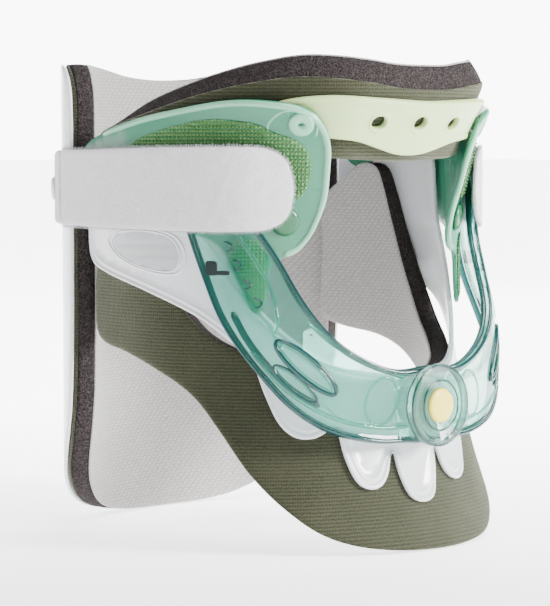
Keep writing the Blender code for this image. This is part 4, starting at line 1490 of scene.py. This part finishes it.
class Drive:
    """The pinion behind the yoke's wall and the two flexible racks that it pulls."""

    def __init__(self, finishes: Finishes) -> None:
        """Keeps the finishes."""
        self.f = finishes

    def build(self) -> None:
        """Finishes the pinion as packed and makes the racks, which bend round the yoke."""
        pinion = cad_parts["drive_pinion"]
        pinion.data.materials.clear()
        pinion.data.materials.append(self.f.acetal)
        for side in Side:
            self._rack(side)
        LOG.info("pinion and lift racks")

    def _rack(self, side: Side) -> None:
        """One rack: teeth over the pinion, then a plain run up the leg."""
        s = side.value
        run = ((16, 8.3), (22, 9.2), (30, 11.5), (37, 17), (42, 24), (46, 33)) if side is Side.LEFT else (
            (16, -7.4), (22, -5.6), (28, -2.0), (34, 6), (40, 16), (46, 33))
        up = 1 if side is Side.LEFT else -1
        teeth = [(-13 + 26 * k / 48, math.copysign(1, math.sin(k * math.pi / 2 + 0.4))) for k in range(49)]
        edge = [(a, up * (6.9 + 0.75 * (1 + high) / 2)) for a, high in teeth]
        outer = [(a, z + up * 1.3) for a, z in run]
        inner = [(a, z - up * 1.1) for a, z in run]
        loop = edge + inner + [(47.2, 34.2)] + outer[::-1] + [(-13, up * 9.2)]
        rack = shell(f"flex_rack_{side.word}", [self.f.acetal], [(a * s, 53.5 + z) for a, z in loop],
                     YOKE.off(-4.5),
                     YOKE.off(-3.0), Edge.soft(0.2), 1.2)
        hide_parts(f"lift_rack_{side.word}")
        low, high = YOKE.spot(16 * s, 53.5, -3.8), YOKE.spot(47 * s, 88, -3.8)
        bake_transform(rack)


# ---------------------------------------------------------------- studio


@dataclass(frozen=True)
class Lamp:
    """A square area light, aimed at the collar."""

    name: str
    spot: tuple[float, float, float]
    size: float
    watts: float


LAMPS = (
    Lamp("key", (0.9, -1.6, 0.7), 0.5, 95.0),
    Lamp("top", (0.1, -0.5, 1.5), 0.8, 26.0),
    Lamp("rim", (1.3, 0.9, 0.9), 0.8, 22.0),
    Lamp("side", (-1.6, -0.2, 0.9), 0.35, 2.5),
)
WHITE = (1.0, 1.0, 1.0, 1.0)


@dataclass(frozen=True)
class Studio:
    """Plain pale floor, soft lights and a long lens."""

    azimuth: float = -44.0
    elevation: float = 3.5
    distance: float = 1.0
    lens: float = 148.5
    aim: tuple[float, float, float] = (0.0, 0.0073, 0.088)
    floor_half: float = 30.0
    floor_drop: float = 0.0006

    @property
    def backwards(self) -> tuple[float, float, float]:
        """The level direction from the camera past the collar."""
        a = math.radians(self.azimuth)
        return -math.sin(a), math.cos(a), 0.0

    def build(self) -> None:
        """Sets the floor, the sky, the lights and the camera."""
        self._floor()
        self._sky()
        for lamp in LAMPS:
            self._light(lamp)
        self._camera()

    def _floor(self) -> None:
        """The floor, which glows more behind the collar than in front of it."""
        mesh = bpy.data.meshes.new("floor")
        w, z = self.floor_half, -self.floor_drop
        mesh.from_pydata([(-w, -w, z), (w, -w, z), (w, w, z), (-w, w, z)], [], [[0, 1, 2, 3]])
        floor = bpy.data.objects.new("floor", mesh)
        bpy.context.scene.collection.objects.link(floor)
        n = Nodes("floor_paint")
        n.colour(n.blend(n.noise(n.place(), 2.0), (0.93, 0.93, 0.93), (0.96, 0.96, 0.96)))
        n.set(Roughness=0.85, Specular_IOR_Level=0.1, Emission_Color=WHITE)
        behind = n.add("ShaderNodeVectorMath", operation="DOT_PRODUCT")
        behind.inputs[1].default_value = self.backwards
        n.link(n.place(), behind.inputs[0])
        n.link(n.spread(behind.outputs["Value"], -0.15, 0.45, 1.7, 6.5),
               n.shader.inputs["Emission Strength"])
        mesh.materials.append(n.mat)

    def _sky(self) -> None:
        """A dim dome with a bright patch behind the collar and a pale band along the horizon."""
        world = bpy.data.worlds.new("studio")
        world.use_nodes = True
        tree = world.node_tree

        def ramp(source: bpy.types.NodeSocket, from_min: float, from_max: float, to_min: float,
                 to_max: float) -> bpy.types.NodeSocket:
            """A value eased from one range to another."""
            made = tree.nodes.new("ShaderNodeMapRange")
            made.interpolation_type = "SMOOTHSTEP"
            for key, value in (("From Min", from_min), ("From Max", from_max), ("To Min", to_min),
                               ("To Max", to_max)):
                made.inputs[key].default_value = value
            tree.links.new(source, made.inputs["Value"])
            return made.outputs["Result"]

        place = tree.nodes.new("ShaderNodeTexCoord")
        toward = tree.nodes.new("ShaderNodeVectorMath")
        toward.operation = "DOT_PRODUCT"
        toward.inputs[1].default_value = self.backwards
        tree.links.new(place.outputs["Generated"], toward.inputs[0])
        height = tree.nodes.new("ShaderNodeSeparateXYZ")
        tree.links.new(place.outputs["Generated"], height.inputs[0])
        both = tree.nodes.new("ShaderNodeMath")
        tree.links.new(ramp(toward.outputs["Value"], 0.86, 0.97, 0.3, 8.0), both.inputs[0])
        tree.links.new(ramp(height.outputs["Z"], 0.04, 0.13, 1.6, 0.0), both.inputs[1])
        shade = tree.nodes["Background"]
        tree.links.new(both.outputs["Value"], shade.inputs[1])
        shade.inputs[0].default_value = WHITE
        bpy.context.scene.world = world

    def _light(self, lamp: Lamp) -> None:
        """One area light, turned to the collar."""
        data = bpy.data.lights.new(lamp.name, "AREA")
        data.size = lamp.size
        data.energy = lamp.watts
        light = bpy.data.objects.new(lamp.name, data)
        light.location = lamp.spot
        aim = Vector(self.aim) - Vector(lamp.spot)
        light.rotation_euler = aim.to_track_quat("-Z", "Y").to_euler()
        bpy.context.scene.collection.objects.link(light)

    def _camera(self) -> None:
        """The main view's camera."""
        a, e = math.radians(self.azimuth), math.radians(self.elevation)
        back = Vector((math.sin(a) * math.cos(e), -math.cos(a) * math.cos(e), math.sin(e)))
        data = bpy.data.cameras.new("camera")
        data.lens = self.lens
        data.clip_start = 0.01
        camera = bpy.data.objects.new("camera", data)
        camera.location = Vector(self.aim) + back * self.distance
        camera.rotation_euler = back.to_track_quat("Z", "Y").to_euler()
        bpy.context.scene.collection.objects.link(camera)
        bpy.context.scene.camera = camera


def main() -> None:
    """Builds the collar in order, from the pads outwards."""
    noise.seed_set(7)
    finishes = Finishes.make()
    Studio().build()
    front, back = FrontHalf(finishes), BackHalf(finishes)
    lift, support = ChinLift(finishes), ChinSupport(finishes)
    for part in (front, back, lift, support, HeightDial(finishes), Drive(finishes)):
        part.build()
    for side in Side:
        Strap(side, finishes).build()
    for part in (front, back, support):
        part.dress()


if __name__ == "__main__":
    logging.basicConfig(level=logging.INFO, format="%(message)s")
    main()
